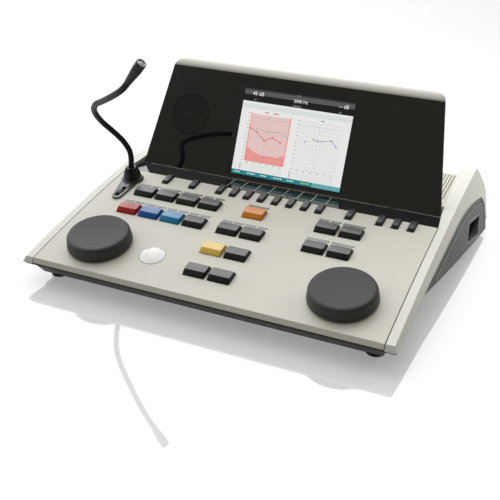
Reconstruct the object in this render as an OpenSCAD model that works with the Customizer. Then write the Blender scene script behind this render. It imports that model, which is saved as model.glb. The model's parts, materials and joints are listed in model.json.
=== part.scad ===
// Desktop audiometer: a wedge-shaped console with a crowned control plate,
// two dials, rows of keys, a folding display head and a gooseneck microphone.
// Millimetres. +X is right, +Y is the rear, +Z is up, and the feet stand on z = 0.

/* [Case] */
// Half width of the control plate
plate_half = 156.3; // [154:0.1:160]
// Open seam between the plate and the cheeks
seam = 0.8; // [0.5:0.1:0.9]
// Width of the cheek strips beside the plate
strip_w = 7.15; // [6:0.05:10]
// Front edge of the crowned top
front_y = -145.7; // [-150:0.1:-144]
// Rear edge of the control plate
plate_back = 12.5; // [12:0.1:14]
// Rearmost point of the case
case_back = 148.3; // [146:0.1:152]
// Radius of the crowned top, seen from the side
crown_r = 1612; // [1500:1:1800]
// Where the crown is highest, from the origin to the rear
crown_y = 130; // [125:1:135]
// Height of the crown there
crown_z = 47.4; // [47:0.1:50]
// Outward slope of the side and front walls
draft = 28; // [26:0.5:30]
// Wall thickness of the moulded covers
skin = 3; // [2.5:0.1:3.4]
// Height of the lower edge of the front face
lip_z = 19.5; // [19:0.1:20]
// Height of the underside of the bottom case
floor_z = 5.8; // [5:0.1:7]
// Distance of the bottom case's sides inside the outer edge of the top
belly_inset = 10.25; // [9.8:0.05:10.7]
// Wall thickness of the bottom case
belly_t = 2.5; // [2:0.1:3]
// Radius of a foot
foot_r = 8; // [6:0.5:9]

/* [Side panels] */
// Radius of the long arch over the side panel
arch_r = 1930; // [1800:10:2100]
// Height of its crest
arch_z = 37.4; // [36.5:0.1:38]
// Radius of the short arch at its rear
arch2_r = 300; // [280:5:330]
// Radius of the rear corner of the side panel
arch_corner = 6; // [5:0.5:8]
// Step from the side wall down to the panel
panel_step = 0.5; // [0.3:0.1:1]
// Thickness of the panel
panel_t = 3; // [2:0.1:4]
// Depth of the grip recess
grip_depth = 14; // [10:0.5:16]

/* [Rear deck] */
// Depth of the deck below the cheek strips
deck_drop = 3.5; // [3:0.1:4.5]
// Front edge of the deck
deck_front = 57; // [56.5:0.1:60]
// Rear edge of the level part of the deck
deck_back = 129; // [125:0.5:131]
// Rear edge of the key ledge
ledge_back = 39; // [37:0.1:39.5]
// Length of a vent slot
vent_l = 3; // [2:0.1:3.4]
// Width of a vent slot
vent_w = 1.5; // [1:0.1:1.8]
// Plane of the connector panel
panel_y = 112; // [110:0.5:114]
// Radius of the bore of a jack socket
jack_bore = 3.2; // [3:0.05:3.4]

/* [Keys] */
// Length of a large key
key_l = 19.5; // [18:0.1:19.8]
// Width of a large key
key_w = 15.6; // [14:0.1:17]
// Height of a large key over the plate
key_h = 4; // [3:0.1:5]
// Travel of a large key
key_travel = 1.5; // [1:0.1:2]
// Spacing of the keys from side to side
key_pitch = 22.5; // [22.5:0.1:23]
// Spacing of the rows of keys
row_pitch = 31; // [29:0.1:31.2]
// First row of keys
row_1 = -23.25; // [-24:0.05:-23]
// Width of a function key
soft_w = 6.3; // [5:0.1:8]
// Length of a function key
soft_l = 15.6; // [12:0.1:16]
// Height of a function key over the plate
soft_h = 2.5; // [2:0.1:4]
// Travel of a function key
soft_travel = 1; // [0.6:0.1:1.4]
// Spacing of the function keys
soft_pitch = 14.25; // [13:0.05:14.4]
// Gap between a key and its opening
key_gap = 0.3; // [0.2:0.05:0.4]
// Radius of the tone switch
tone_r = 11.2; // [9:0.1:13]

/* [Dials] */
// Distance of each dial from the middle
dial_x = 111.5; // [108:0.5:114]
// Place of the dials from front to rear
dial_y = -109.4; // [-111:0.1:-107]
// Largest radius of a dial
dial_r = 28.8; // [28:0.05:30]
// Radius of a dial under the rounding of its upper edge
dial_top_r = 27.9; // [26:0.05:28]
// Rounding of a dial's upper edge
dial_round = 3.4; // [2:0.1:4.5]
// Height of a dial over the plate
dial_h = 12.2; // [10:0.1:16]
// Radius of the dial's shaft
shaft_r = 3; // [2.5:0.1:3.5]

/* [Display head] */
// Angle of the face from the horizontal
tilt = 64.56; // [60:0.5:70]
// Place of the lower edge of the face
face_y = 40.3; // [40:0.1:41]
// Height of the lower edge of the face
face_z = 40.2; // [40:0.1:41.5]
// Gap between the face's lower corners and the cheeks
face_gap = 0.8; // [0.7:0.1:2]
// Height of the face along its slope
face_h = 101.5; // [100:0.5:110]
// Narrowing of each side for each millimetre up the face
face_taper = 0.15; // [0.1:0.01:0.2]
// Radius of the head's upper corners
face_corner = 12.7; // [8:0.1:20]
// Thickness of the black front
front_t = 2.5; // [2:0.1:2.7]
// Thickness of the whole head
head_t = 12; // [12:0.1:13]
// Height of the rounded rim over the face
rim_h = 9.7; // [9:0.1:10.5]
// Distance of the hinge axis up the face
hinge_up = 14; // [13.5:0.1:14.5]
// Distance of the hinge axis behind the face
hinge_in = 7; // [6.8:0.1:7.2]
// Distance of each hinge from the middle
hinge_x = 105; // [95:0.5:115]
// Radius of a hinge pin
pin_r = 2; // [1.5:0.1:2.2]
// Width of the visible screen
lcd_w = 112.9; // [100:0.1:130]
// Height of the visible screen
lcd_h = 84.7; // [75:0.1:86]

/* [Microphone] */
// Distance of the microphone to the left of the middle
mic_x = 140; // [138:0.1:142]
// Place of the microphone from front to rear
mic_y = -5; // [-6:0.1:-4]
// Radius of its flange
flange_r = 10.7; // [9:0.1:11.5]
// Radius of the gooseneck
neck_r = 2.7; // [2.4:0.05:3.2]
// Radius of the capsule
capsule_r = 4.3; // [4:0.1:6]
// Length of the capsule
capsule_l = 23.5; // [20:0.5:30]

/* [Hidden] */
KEY_NODES = ["key_a1", "key_a2", "key_a3", "key_a4", "key_a5", "key_a6", "key_a7",
    "key_b1", "key_b2", "key_b3", "key_b4", "key_b5", "key_b6", "key_b7", "key_b8",
    "key_c1", "key_c2", "key_d1", "key_d2"];
SOFT_NODES = ["soft_key_1", "soft_key_2", "soft_key_3", "soft_key_4",
    "soft_key_5", "soft_key_6", "soft_key_7", "soft_key_8",
    "side_key_1", "side_key_2", "side_key_3", "side_key_4", "side_key_5", "side_key_6"];
CASE_NODES = ["top_plate", "left_cheek", "right_cheek", "side_grips", "bottom_case",
    "rear_deck", "connector_panel", "key_ledge", "control_board", "main_board",
    "light_bars", "sockets", "fixings", "feet"];
HEAD_NODES = ["display_front", "display_window", "display_shell", "lcd_module",
    "speaker_driver"];
CONTROL_NODES = ["tone_switch", "talk_lever", "left_dial", "right_dial",
    "mic_collet", "mic_arm", "mic_boom", "mic_capsule"];

// Colours
off_white = "#cfcdc4";
cheek_white = "#dbdad3";
panel_grey = "#5f625e";
dark_key = "#3c3d3d";
black = "#1a1a1b";
board_green = "#2f5a41";
bar_grey = "#7e8688";
steel = "#a9adb0";

// Fineness of the large crowned surfaces
crown_fn = 720;
wall_ys = [for (y = [-160 : 10 : 160]) y];
$fn = 48;
slack = 0.05;

// Cheeks
cheek_in = plate_half + seam;
cheek_out = cheek_in + strip_w;
belly_half = cheek_out - belly_inset;
front_low_y = front_y - (crown(front_y) - lip_z) * tan(draft);
// Inner faces of the cheeks beside the ledge and the deck: [x, y]
cheek_bend = [cheek_in - 3.2, ledge_back - 2];
cheek_rear = [cheek_in - 8.6, case_back];
// The cheeks' inner walls stop at this height
inner_wall_z = 30;

// Side arch
arch_y = 120;
arch2_y = 52.8;
arch2_z = 35.9;
arch_join_y = 121;
corner_at = [120, 22.2];
corner_end = -56;
// Straight run of the panel's rear edge below its corner
band_run = 12.4;
panel_tail = [102.7, 5.3];
panel_tip_y = -78;
rear_round = 12;
rear_round_z = 34.7;
rear_top_round = 6.5;

// Bottom case
belly_front = [front_low_y + 1.8, lip_z - 0.2];
belly_nose_z = 16.5;
belly_toe_y = -137;
belly_back = panel_y + 2;
belly_top = 28.5;
pillar_w = 4.8;
// Inner faces of the pillars that hold the connector panel
pillar_in = belly_half - 5;

// Screws: two bosses under the front, two beside the dials, two under the deck
screw_r = 1.45;
boss_r = 4;
plate_screws = [[60, -131], [-60, -131], [141, -74], [-141, -74]];
deck_screws = [[96, 98], [-107.5, 98]];
screw_head_r = 3.2;
screw_head_h = 2;
foot_places = [[145, -126], [-145, -126], [145, 98], [-145, 98]];

// Boards
board_t = 1.6;
board_depth = 12.5;
board_front_y = -127;
board_back_y = 4;
board_half = belly_half - belly_t - 2.5;
switch_w = 6;
main_z = 11;
main_l = 190;
main_w = 116;
main_front_y = -38;

// Well behind the ledge
well_z = 33.5;
ledge_z = crown(plate_back) - 0.9;
ledge_rear_z = face_z - 0.2;
ledge_t = 1.8;
deck_t = 2.5;
deck_round = 12;

// Keys: plate openings, retaining flanges and the switches below
flange_gap = 0.3;
flange_t = 1.2;
flange_out = 1.2;
left_col = -114.5;
middle_col = -13.25;
right_col = 67;
orange_x = -2.05;
soft_y = 5.7;
soft_mid = 0.32;
tone_at = [-58.8, -110.2];
bar_up = 13;
bar_shift = -1.2;
bar_w = 2.4;
bar_long = 20;
bar_short = 9.2;
bar_space = 2;
bar_proud = 0.35;
// Switch tops sit this far below the plate's surface, for a key of this travel
function switch_top(travel) = skin + flange_gap + flange_t + travel + 0.3;

// Large keys: node name, x, row, colour, light bars above it (2 short, 1 long, 0 none)
KEYS = [
    ["key_a1", left_col, 1, dark_key, 2],
    ["key_a2", left_col + key_pitch, 1, dark_key, 1],
    ["key_a3", left_col + 2 * key_pitch, 1, dark_key, 1],
    ["key_a4", left_col + 3 * key_pitch, 1, dark_key, 2],
    ["key_a5", orange_x, 1, "#cf7f33", 1],
    ["key_a6", right_col, 1, dark_key, 2],
    ["key_a7", right_col + key_pitch, 1, dark_key, 1],
    ["key_b1", left_col, 2, "#a23a36", 2],
    ["key_b2", left_col + key_pitch, 2, "#1e55a0", 2],
    ["key_b3", left_col + 2 * key_pitch, 2, "#3a86ae", 2],
    ["key_b4", left_col + 3 * key_pitch, 2, dark_key, 2],
    ["key_b5", middle_col, 2, dark_key, 2],
    ["key_b6", middle_col + key_pitch, 2, dark_key, 2],
    ["key_b7", right_col, 2, dark_key, 1],
    ["key_b8", right_col + key_pitch, 2, dark_key, 1],
    ["key_c1", middle_col, 3, "#d9bf62", 0],
    ["key_c2", middle_col + key_pitch, 3, dark_key, 0],
    ["key_d1", middle_col, 4, dark_key, 0],
    ["key_d2", middle_col + key_pitch, 4, dark_key, 0]];

// Function keys: place in steps of soft_pitch from the middle
SOFT_STEPS = [-3.5, -2.5, -1.5, -0.5, 0.5, 1.5, 2.5, 3.5, -7.5, -5.5, 5.5, 7.5, 8.5, 9.5];

// Hinge of the head
hinge_y = face_y + hinge_up * cos(tilt) + hinge_in * sin(tilt);
hinge_z = face_z + hinge_up * sin(tilt) - hinge_in * cos(tilt);
arm_w = 6;
arm_gap = 0.6;
boss_hinge_r = 4;
hinge_block = 3.4;
slot_up = hinge_up + 11;
shell_t = 2.5;
face_half = cheek_bend[0] - face_gap;
shell_h = face_h + rim_h;
shell_draft = 14;
shell_inset = 0.8;
screen_at = [-0.4, 47];
speaker_at = [-110.5, 54.9];
speaker_r = 19;

// Microphone: points of the gooseneck, each [to the right, up the slope, height].
// It rises, leans to the left and forward, and then runs to the right and up.
collet_h = 14;
NECK_LOW = [[0, 0, 8], [0, 0, 14], [1, 0, 22], [0.5, -0.2, 31], [-4, -1, 40],
    [-8.5, -3.2, 47], [-11.6, -8.3, 55], [-12.9, -15.8, 64], [-11.7, -24.5, 73.5],
    [-8.5, -33.4, 83], [-3.5, -41.5, 92]];
NECK_HIGH = [[-3.5, -41.5, 92], [6, -50.6, 101.6], [19, -59.8, 110], [31, -68, 117.7],
    [40.5, -73.6, 124], [48.5, -77.6, 129.6], [54.5, -79.8, 134.2], [58.6, -80.8, 138.3],
    [61.5, -81, 141.8]];
knuckle = NECK_HIGH[0];
knuckle_r = neck_r + 0.15;
knuckle_gap = 0.2;
capsule_foot = NECK_HIGH[len(NECK_HIGH) - 1];
capsule_before = NECK_HIGH[len(NECK_HIGH) - 2];
lever_y = -31;
lever_x = 1.9;
lever_travel = 5;
lever_l = 6.4;
lever_w = 2.6;
lever_slot = [lever_w + 0.8, lever_l + 2 * lever_travel + 1];
bezel_tip = [2.9, -34.5];
bezel_tip_r = 4.6;
bezel_h = 1.4;

// ---- Crowned top and drafted walls ----

// Height of the crowned top at y
function crown(y) = crown_z - crown_r + sqrt(crown_r * crown_r - pow(y - crown_y, 2));

// Slope of the crowned top at y
function lean(y) = asin((crown_y - y) / crown_r);

// Place children on the crowned top, upright to its surface
module at_crown(x, y) {
    translate([x, y, crown(y)])
        rotate([lean(y), 0, 0])
            children();
}

// Everything under the crowned top, lowered by depth
module under_crown(depth = 0) {
    translate([0, crown_y, crown_z - crown_r])
        rotate([0, 90, 0])
            cylinder(r = crown_r - depth, h = 500, center = true, $fn = crown_fn);
}

// Everything inside the right side wall, moved in by inset. The wall runs down and
// out from the crowned edge of the cheek at the draft angle.
module inside_wall(inset = 0) {
    rotate([0, -draft, 0])
        linear_extrude(height = 400, center = true)
            polygon(concat([[0, wall_ys[len(wall_ys) - 1]], [0, wall_ys[0]]],
                [for (y = wall_ys)
                    [cheek_out * cos(draft) + crown(y) * sin(draft) - inset, y]]));
}

// Extrude a side outline, given as [y, z], from x0 to x1
module side_slab(x0, x1, outline) {
    translate([x0, 0, 0])
        rotate([90, 0, 90])
            linear_extrude(height = x1 - x0)
                polygon(outline);
}

// Side outline behind the drafted front face, moved in by inset, from z0 up
function behind_front(inset, z0, y1) = let (y0 = front_low_y + inset / cos(draft)) [
    [y0 + (z0 - lip_z) * tan(draft), z0],
    [y0 + (60 - lip_z) * tan(draft), 60],
    [y1, 60],
    [y1, z0]];

// Points of an arc about c, from angle a0 to a1
function arc(c, r, a0, a1, n) = [for (i = [0 : n])
    let (a = a0 + (a1 - a0) * i / n) [c[0] + r * cos(a), c[1] + r * sin(a)]];

// Height of the arch over the side panel
function arch(y) = min(
    arch_z - arch_r + sqrt(arch_r * arch_r - pow(y - arch_y, 2)),
    y < arch2_y ? 99 : arch2_z - arch2_r + sqrt(arch2_r * arch2_r - pow(y - arch2_y, 2)));

// The arch from y0 to its rear corner, lowered by inset, and down its rear side for run
function arch_line(y0, inset, run) = concat(
    [for (i = [0 : 24]) let (y = y0 + (arch_join_y - y0) * i / 24) [y, arch(y) - inset]],
    arc(corner_at, arch_corner - inset, 70, corner_end, 9),
    [arch_tail(inset, run)]);

function arch_tail(inset, run) = corner_at
    + (arch_corner - inset) * [cos(corner_end), sin(corner_end)]
    + run * [cos(corner_end - 90), sin(corner_end - 90)];

// Outline of the rear of the case, from its top down to the narrow end of the cheek
function rear_line() = concat(
    arc([case_back - rear_top_round, crown_z - rear_top_round], rear_top_round, 85, 0, 8),
    arc([case_back - rear_round, rear_round_z], rear_round, 0, -64, 8),
    [arch_tail(0, band_run) + [0.5, -0.4]]);

// Points in the opposite order
function backward(p) = [for (i = [len(p) - 1 : -1 : 0]) p[i]];

// Plan of the space between the cheeks' inner faces, narrower by inset
function between_cheeks(y0, y1, inset) = let (
    x0 = inner_x(y0) - inset,
    x1 = inner_x(y1) - inset,
    xb = cheek_bend[0] - inset) [
    [x0, y0], [xb, max(y0, cheek_bend[1])], [x1, y1],
    [-x1, y1], [-xb, max(y0, cheek_bend[1])], [-x0, y0]];

// Inner face of the right cheek at y
function inner_x(y) = y <= plate_back ? cheek_in
    : y <= cheek_bend[1] ? cheek_in + (cheek_bend[0] - cheek_in)
        * (y - plate_back) / (cheek_bend[1] - plate_back)
    : cheek_bend[0] + (cheek_rear[0] - cheek_bend[0])
        * (y - cheek_bend[1]) / (cheek_rear[1] - cheek_bend[1]);

// ---- Openings that the plate and the ledge share ----

module key_openings() {
    for (k = KEYS)
        at_crown(k[1], row(k[2]))
            cube([key_l + 2 * key_gap, key_w + 2 * key_gap, 4 * skin], center = true);
}

module soft_openings() {
    for (s = SOFT_STEPS)
        at_crown(soft_x(s), soft_y)
            cube([soft_w + 2 * key_gap, soft_l + 2 * key_gap, 4 * skin], center = true);
}

module bar_slots(gap) {
    for (k = KEYS)
        at_crown(k[1] + bar_shift, row(k[2]) + bar_up)
            bars(k[4], gap, -2 * skin, 2 * skin);
}

// Light bars of one key, from depth z0 to z1
module bars(kind, gap, z0, z1) {
    if (kind == 1)
        bar(0, bar_long, gap, z0, z1);
    if (kind == 2)
        for (side = [-1, 1])
            bar(side * (bar_short + bar_space) / 2, bar_short, gap, z0, z1);
}

module bar(x, l, gap, z0, z1) {
    translate([x - l / 2 - gap, -bar_w / 2 - gap, z0])
        cube([l + 2 * gap, bar_w + 2 * gap, z1 - z0]);
}

function row(i) = row_1 - (i - 1) * row_pitch;
function soft_x(step) = soft_mid + step * soft_pitch;

// ---- Case ----

module top_plate() {
    color(off_white)
        difference() {
            union() {
                difference() {
                    intersection() {
                        under_crown();
                        side_slab(-plate_half, plate_half,
                            behind_front(0, lip_z, plate_back));
                    }
                    intersection() {
                        under_crown(skin);
                        side_slab(-plate_half - 1, plate_half + 1,
                            behind_front(skin, lip_z - 5, plate_back + 5));
                    }
                }
                intersection() {
                    under_crown(skin / 2);
                    for (p = plate_screws)
                        translate([p[0], p[1], floor_z + belly_t + 0.1])
                            cylinder(r = boss_r, h = 60);
                }
            }
            for (p = plate_screws)
                translate([p[0], p[1], 0])
                    cylinder(r = screw_r + slack, h = crown(p[1]) - skin);
            key_openings();
            soft_openings();
            bar_slots(slack);
            for (side = [-1, 1])
                at_crown(side * dial_x, dial_y)
                    cylinder(r = bush_r + slack, h = 4 * skin, center = true);
            at_crown(tone_at[0], tone_at[1])
                cylinder(r = tone_r + key_gap, h = 4 * skin, center = true);
            at_crown(-mic_x, mic_y) {
                cylinder(r = neck_r + 2.6 + slack, h = 4 * skin, center = true);
                translate([lever_x, lever_y - mic_y, 0])
                    cube([lever_slot[0], lever_slot[1], 4 * skin], center = true);
            }
        }
}

// The right cheek: top strip, drafted side wall and inner wall
module cheek_shape() {
    difference() {
        intersection() {
            under_crown();
            inside_wall();
            side_slab(100, 240, concat(
                [[front_low_y + (arch(front_low_y) - lip_z) * tan(draft), arch(front_low_y)],
                    [front_low_y + (60 - lip_z) * tan(draft), 60],
                    [case_back - rear_top_round, 60]],
                rear_line(),
                backward(arch_line(front_low_y + 1, 0, band_run))));
            translate([0, 0, -1])
                linear_extrude(height = 80)
                    polygon([[cheek_in, -160], [cheek_in, plate_back], cheek_bend,
                        cheek_rear, [cheek_rear[0], 160], [240, 160], [240, -160]]);
        }
        // hollow
        intersection() {
            under_crown(skin);
            inside_wall(skin);
            side_slab(100, 240, [
                [front_low_y + 3 * skin, -1],
                [panel_tail[0] - 4, -1],
                [corner_at[0] + 8, corner_at[1] - 2.4],
                [case_back - 2 * skin, rear_round_z - 4.5],
                [case_back - 2 * skin, 60],
                [front_low_y + 3 * skin, 60]]);
            translate([0, 0, -2])
                linear_extrude(height = 80)
                    polygon([[cheek_in + 2.5, -160], [cheek_in + 2.5, plate_back],
                        [cheek_bend[0] + 2.5, cheek_bend[1]],
                        [cheek_rear[0] + 2.5, cheek_rear[1]],
                        [240, 160], [240, -160]]);
        }
        // the bottom case passes below the inner wall
        translate([100, -200, -1])
            cube([belly_half + 0.6 - 100, 400, inner_wall_z + 1]);
    }
    // lip under the edge of the plate
    intersection() {
        under_crown(skin + slack);
        difference() {
            side_slab(plate_half - 4, cheek_in + 1,
                behind_front(skin + slack, lip_z + 3, plate_back - 1));
            under_crown(skin + 2);
        }
    }
}

module right_cheek() {
    color(cheek_white)
        cheek_shape();
}

module left_cheek() {
    color(cheek_white)
        mirror([1, 0, 0])
            cheek_shape();
}

// Outline of the side panel: under the arch, over the line of its lower edge
function panel_outline(inset) = concat(
    arch_line(panel_tip_y + 8 * inset, inset, band_run),
    [[panel_tail[0] - inset, panel_tail[1] + inset / 2]]);

// Groove along the arch, from the lower edge over the corner to the lower edge
function groove_outline() = concat(
    arch_line(groove_y, groove_in, 2.4 * band_run),
    backward(arch_line(groove_y, groove_in + groove_w, 2.4 * band_run)));

// Grip recess, as a slanted four-sided outline in [y, z], grown by d
function grip_outline(d) = [
    [67.8 + 0.3 * d, 24.2 + d], [100.6 + 1.4 * d, 18.8 + 0.3 * d],
    [78.1 + 0.3 * d, 11.3 - d], [46.4 - 1.4 * d, 17.2 - 0.3 * d]];

module grip_shape() {
    difference() {
        union() {
            // panel
            intersection() {
                difference() {
                    inside_wall(panel_step);
                    inside_wall(panel_step + panel_t);
                }
                side_slab(belly_half + 0.6, 240, panel_outline(0.3));
            }
            // walls and back of the recess
            intersection() {
                inside_wall(panel_step + 0.5);
                side_slab(grip_back_x - 2, 240, grip_outline(2));
            }
            // flange along the lower edge
            intersection() {
                inside_wall(panel_step + 0.5);
                side_slab(belly_half + 0.3, 240, [
                    [panel_tip_y + 12, arch(panel_tip_y) - 1.7 + slack],
                    [panel_tip_y + 32, arch(panel_tip_y) - 1.5],
                    [panel_tail[0] - 4, panel_tail[1] + 3],
                    [panel_tail[0] - 2, panel_tail[1] + 0.25]]);
            }
        }
        // recess
        side_slab(grip_back_x, 240, grip_outline(0));
        // groove that follows the arch
        difference() {
            side_slab(belly_half, 241, groove_outline());
            inside_wall(panel_step + groove_d);
        }
    }
}

groove_in = 3.6;
groove_w = 0.9;
groove_d = 0.6;
groove_y = -52;
grip_back_x = cheek_out + (crown(75) - 18) * tan(draft) - grip_depth;

module side_grips() {
    color(panel_grey)
        for (side = [0, 1])
            mirror([side, 0, 0])
                grip_shape();
}

module bottom_case() {
    color(black)
        difference() {
            union() {
                // tray
                difference() {
                    side_slab(-belly_half, belly_half, [
                        belly_front, [belly_front[0], belly_nose_z],
                        [belly_toe_y, floor_z], [belly_back, floor_z],
                        [belly_back, belly_top], [panel_tip_y, belly_top - 1],
                        [belly_front[0] + 8, lip_z - 0.2]]);
                    side_slab(-belly_half + belly_t, belly_half - belly_t, [
                        [belly_front[0] + belly_t, lip_z + 10],
                        [belly_front[0] + belly_t, belly_nose_z + 1],
                        [belly_toe_y + 1, floor_z + belly_t],
                        [belly_back + 1, floor_z + belly_t],
                        [belly_back + 1, 60]]);
                }
                // lip and shoulders that carry the cheeks
                for (side = [0, 1])
                    mirror([side, 0, 0])
                        intersection() {
                            inside_wall(2.2);
                            side_slab(belly_half - 1, 240, concat(
                                [for (i = [0 : 10]) let (y = belly_front[0]
                                    + (panel_tip_y - 1 - belly_front[0]) * i / 10)
                                    [y, arch(y) - 0.2]],
                                [[panel_tip_y - 1, arch(panel_tip_y) - 3],
                                    [belly_front[0], belly_nose_z]]));
                        }
                // pillars beside the connector panel
                for (side = [-1, 1])
                    translate([side * (pillar_in + pillar_w / 2) - pillar_w / 2, panel_y - 4,
                            floor_z])
                        cube([pillar_w, 6, belly_top - floor_z]);
                // standoffs of the main board
                for (sx = [-1, 1], sy = [-1, 1])
                    translate([sx * (main_l / 2 - 7), main_front_y + main_w / 2
                            + sy * (main_w / 2 - 8), floor_z + 1])
                        cylinder(r = 3.2, h = main_z - floor_z - 1);
            }
            // screws
            for (p = concat(plate_screws, deck_screws))
                translate([p[0], p[1], 0]) {
                    cylinder(r = screw_r + 0.15, h = 20);
                    translate([0, 0, floor_z - 10])
                        cylinder(r = screw_head_r + 0.3, h = 10 + screw_head_h - 0.6);
                }
        }
}

module feet() {
    color("#151515")
        for (p = foot_places)
            translate([p[0], p[1], 0])
                rotate_extrude()
                    polygon(concat([[0, 0], [foot_r - 1.5, 0]],
                        arc([foot_r - 1.5, 1.5], 1.5, -90, 0, 6),
                        [[foot_r, floor_z], [0, floor_z]]));
}

module rear_deck() {
    color(off_white)
        difference() {
            union() {
                intersection() {
                    translate([0, 0, 20])
                        linear_extrude(height = 40)
                            polygon(between_cheeks(ledge_back + 0.2, case_back, 0.3));
                    union() {
                        // level skin
                        intersection() {
                            difference() {
                                under_crown(deck_drop);
                                under_crown(deck_drop + deck_t);
                            }
                            translate([-170, deck_front, 0])
                                cube([340, deck_back - deck_front + 0.2, 60]);
                        }
                        // rounded rear edge
                        translate([-170, deck_back, crown(deck_back) - deck_drop - deck_round])
                            rotate([0, 90, 0])
                                difference() {
                                    cylinder(r = deck_round, h = 340, $fn = 96);
                                    translate([0, 0, -1])
                                        cylinder(r = deck_round - deck_t, h = 342, $fn = 96);
                                    translate([-30, -30, -1])
                                        cube([60, 30, 342]);
                                    translate([0, -30, -1])
                                        cube([30, 60, 342]);
                                }
                        // well under the head
                        side_slab(-170, 170, [
                            [ledge_back + 0.2, well_z - deck_t],
                            [deck_front + deck_t, well_z - deck_t],
                            [deck_front + deck_t, crown(deck_front) - deck_drop - 0.5],
                            [deck_front, crown(deck_front) - deck_drop],
                            [deck_front, well_z],
                            [ledge_back + 0.2, well_z]]);
                    }
                }
                // arms that carry the head
                for (side = [-1, 1])
                    translate([side * hinge_x - arm_w / 2, 0, 0])
                        hinge_arm();
                // bosses for the rear screws
                for (p = deck_screws)
                    translate([p[0], p[1], floor_z + belly_t + 0.1])
                        cylinder(r = boss_r,
                            h = crown(p[1]) - deck_drop - 1 - floor_z - belly_t);
            }
            // pin holes
            translate([-200, hinge_y, hinge_z])
                rotate([0, 90, 0])
                    cylinder(r = pin_r + 0.01, h = 400);
            for (p = deck_screws)
                translate([p[0], p[1], 0])
                    cylinder(r = screw_r + slack, h = crown(p[1]) - deck_drop - deck_t);
            // vents
            for (side = [-1, 1], i = [0 : 5], j = [0 : 11])
                translate([side * (inner_x(deck_back) - 2.4 - 2.9 * i), 74 + 4.55 * j,
                    crown(100) - deck_drop])
                    cube([vent_w, vent_l, 10], center = true);
        }
}

module hinge_arm() {
    side_slab(0, arm_w, [
        [hinge_y - 2.4, hinge_z - 3.1],
        [deck_front + 0.4, crown(deck_front) - deck_drop - 1],
        [deck_front + 7, crown(deck_front) - deck_drop - 1],
        [hinge_y + 2.7, hinge_z + 2.9],
        [hinge_y, hinge_z]]);
    translate([0, hinge_y, hinge_z])
        rotate([0, 90, 0])
            cylinder(r = boss_hinge_r, h = arm_w);
}

module key_ledge() {
    color(black)
        difference() {
            intersection() {
                translate([0, 0, 20])
                    linear_extrude(height = 40)
                        polygon(between_cheeks(plate_back + 0.1, ledge_back, 0.3));
                side_slab(-170, 170, [
                    [plate_back + 0.1, ledge_z],
                    [ledge_back, ledge_rear_z],
                    [ledge_back, well_z - deck_t],
                    [ledge_back - ledge_t, well_z - deck_t],
                    [ledge_back - ledge_t, ledge_rear_z - ledge_t],
                    [plate_back + 0.1, ledge_z - ledge_t]]);
            }
            soft_openings();
        }
}

jack_xs = [for (i = [0 : 8]) -118 + 21 * i];
jack_z = 21;
usb_x = 82;
inlet_x = 118;
// Seams between the plates of the jacks, of the data socket and of the inlet
panel_seams = [66, 96];

module connector_panel() {
    color(panel_grey)
        difference() {
            translate([-pillar_in + 0.2, panel_y - belly_t, floor_z + belly_t])
                cube([2 * pillar_in - 0.4, belly_t,
                    crown(panel_y) - deck_drop - deck_t - 0.2 - floor_z - belly_t]);
            for (x = jack_xs)
                translate([x, panel_y - 2 * belly_t, jack_z])
                    rotate([-90, 0, 0])
                        cylinder(r = 5.5 + slack, h = 4 * belly_t);
            translate([usb_x - 6.5, panel_y - 10, jack_z - 6])
                cube([13, 20, 12]);
            translate([inlet_x - 14, panel_y - 10, jack_z - 10])
                cube([28, 20, 20]);
            for (x = panel_seams)
                translate([x - slack, panel_y - 2 * belly_t, 0])
                    cube([2 * slack, 4 * belly_t, 60]);
        }
}

module sockets() {
    color("#232425") {
        for (x = jack_xs)
            translate([x, 0, jack_z])
                rotate([-90, 0, 0])
                    difference() {
                        union() {
                            translate([0, 0, panel_y - 24])
                                cylinder(r = 5.5, h = 25);
                            translate([0, 0, panel_y])
                                cylinder(r = 7.2, h = 2);
                        }
                        translate([0, 0, panel_y - 22])
                            cylinder(r = jack_bore, h = 30);
                    }
        translate([usb_x - 6.4, panel_y - 16, jack_z - 5.9])
            difference() {
                cube([12.8, 17, 11.8]);
                translate([1, 3, 1])
                    cube([10.8, 20, 9.8]);
            }
        translate([inlet_x - 13.9, panel_y - 22, jack_z - 9.9])
            difference() {
                cube([27.8, 23.5, 19.8]);
                translate([2, 5, 2])
                    cube([23.8, 30, 15.8]);
            }
    }
}

// ---- Boards, light bars and fixings ----

bush_r = shaft_r + 2;
bush_top = 0.6;

// Push switch on the board, w wide, whose top leaves room for the travel
module switch(w, travel) {
    translate([-w / 2, -w / 2, -board_depth])
        cube([w, w, board_depth - switch_top(travel)]);
}

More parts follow.
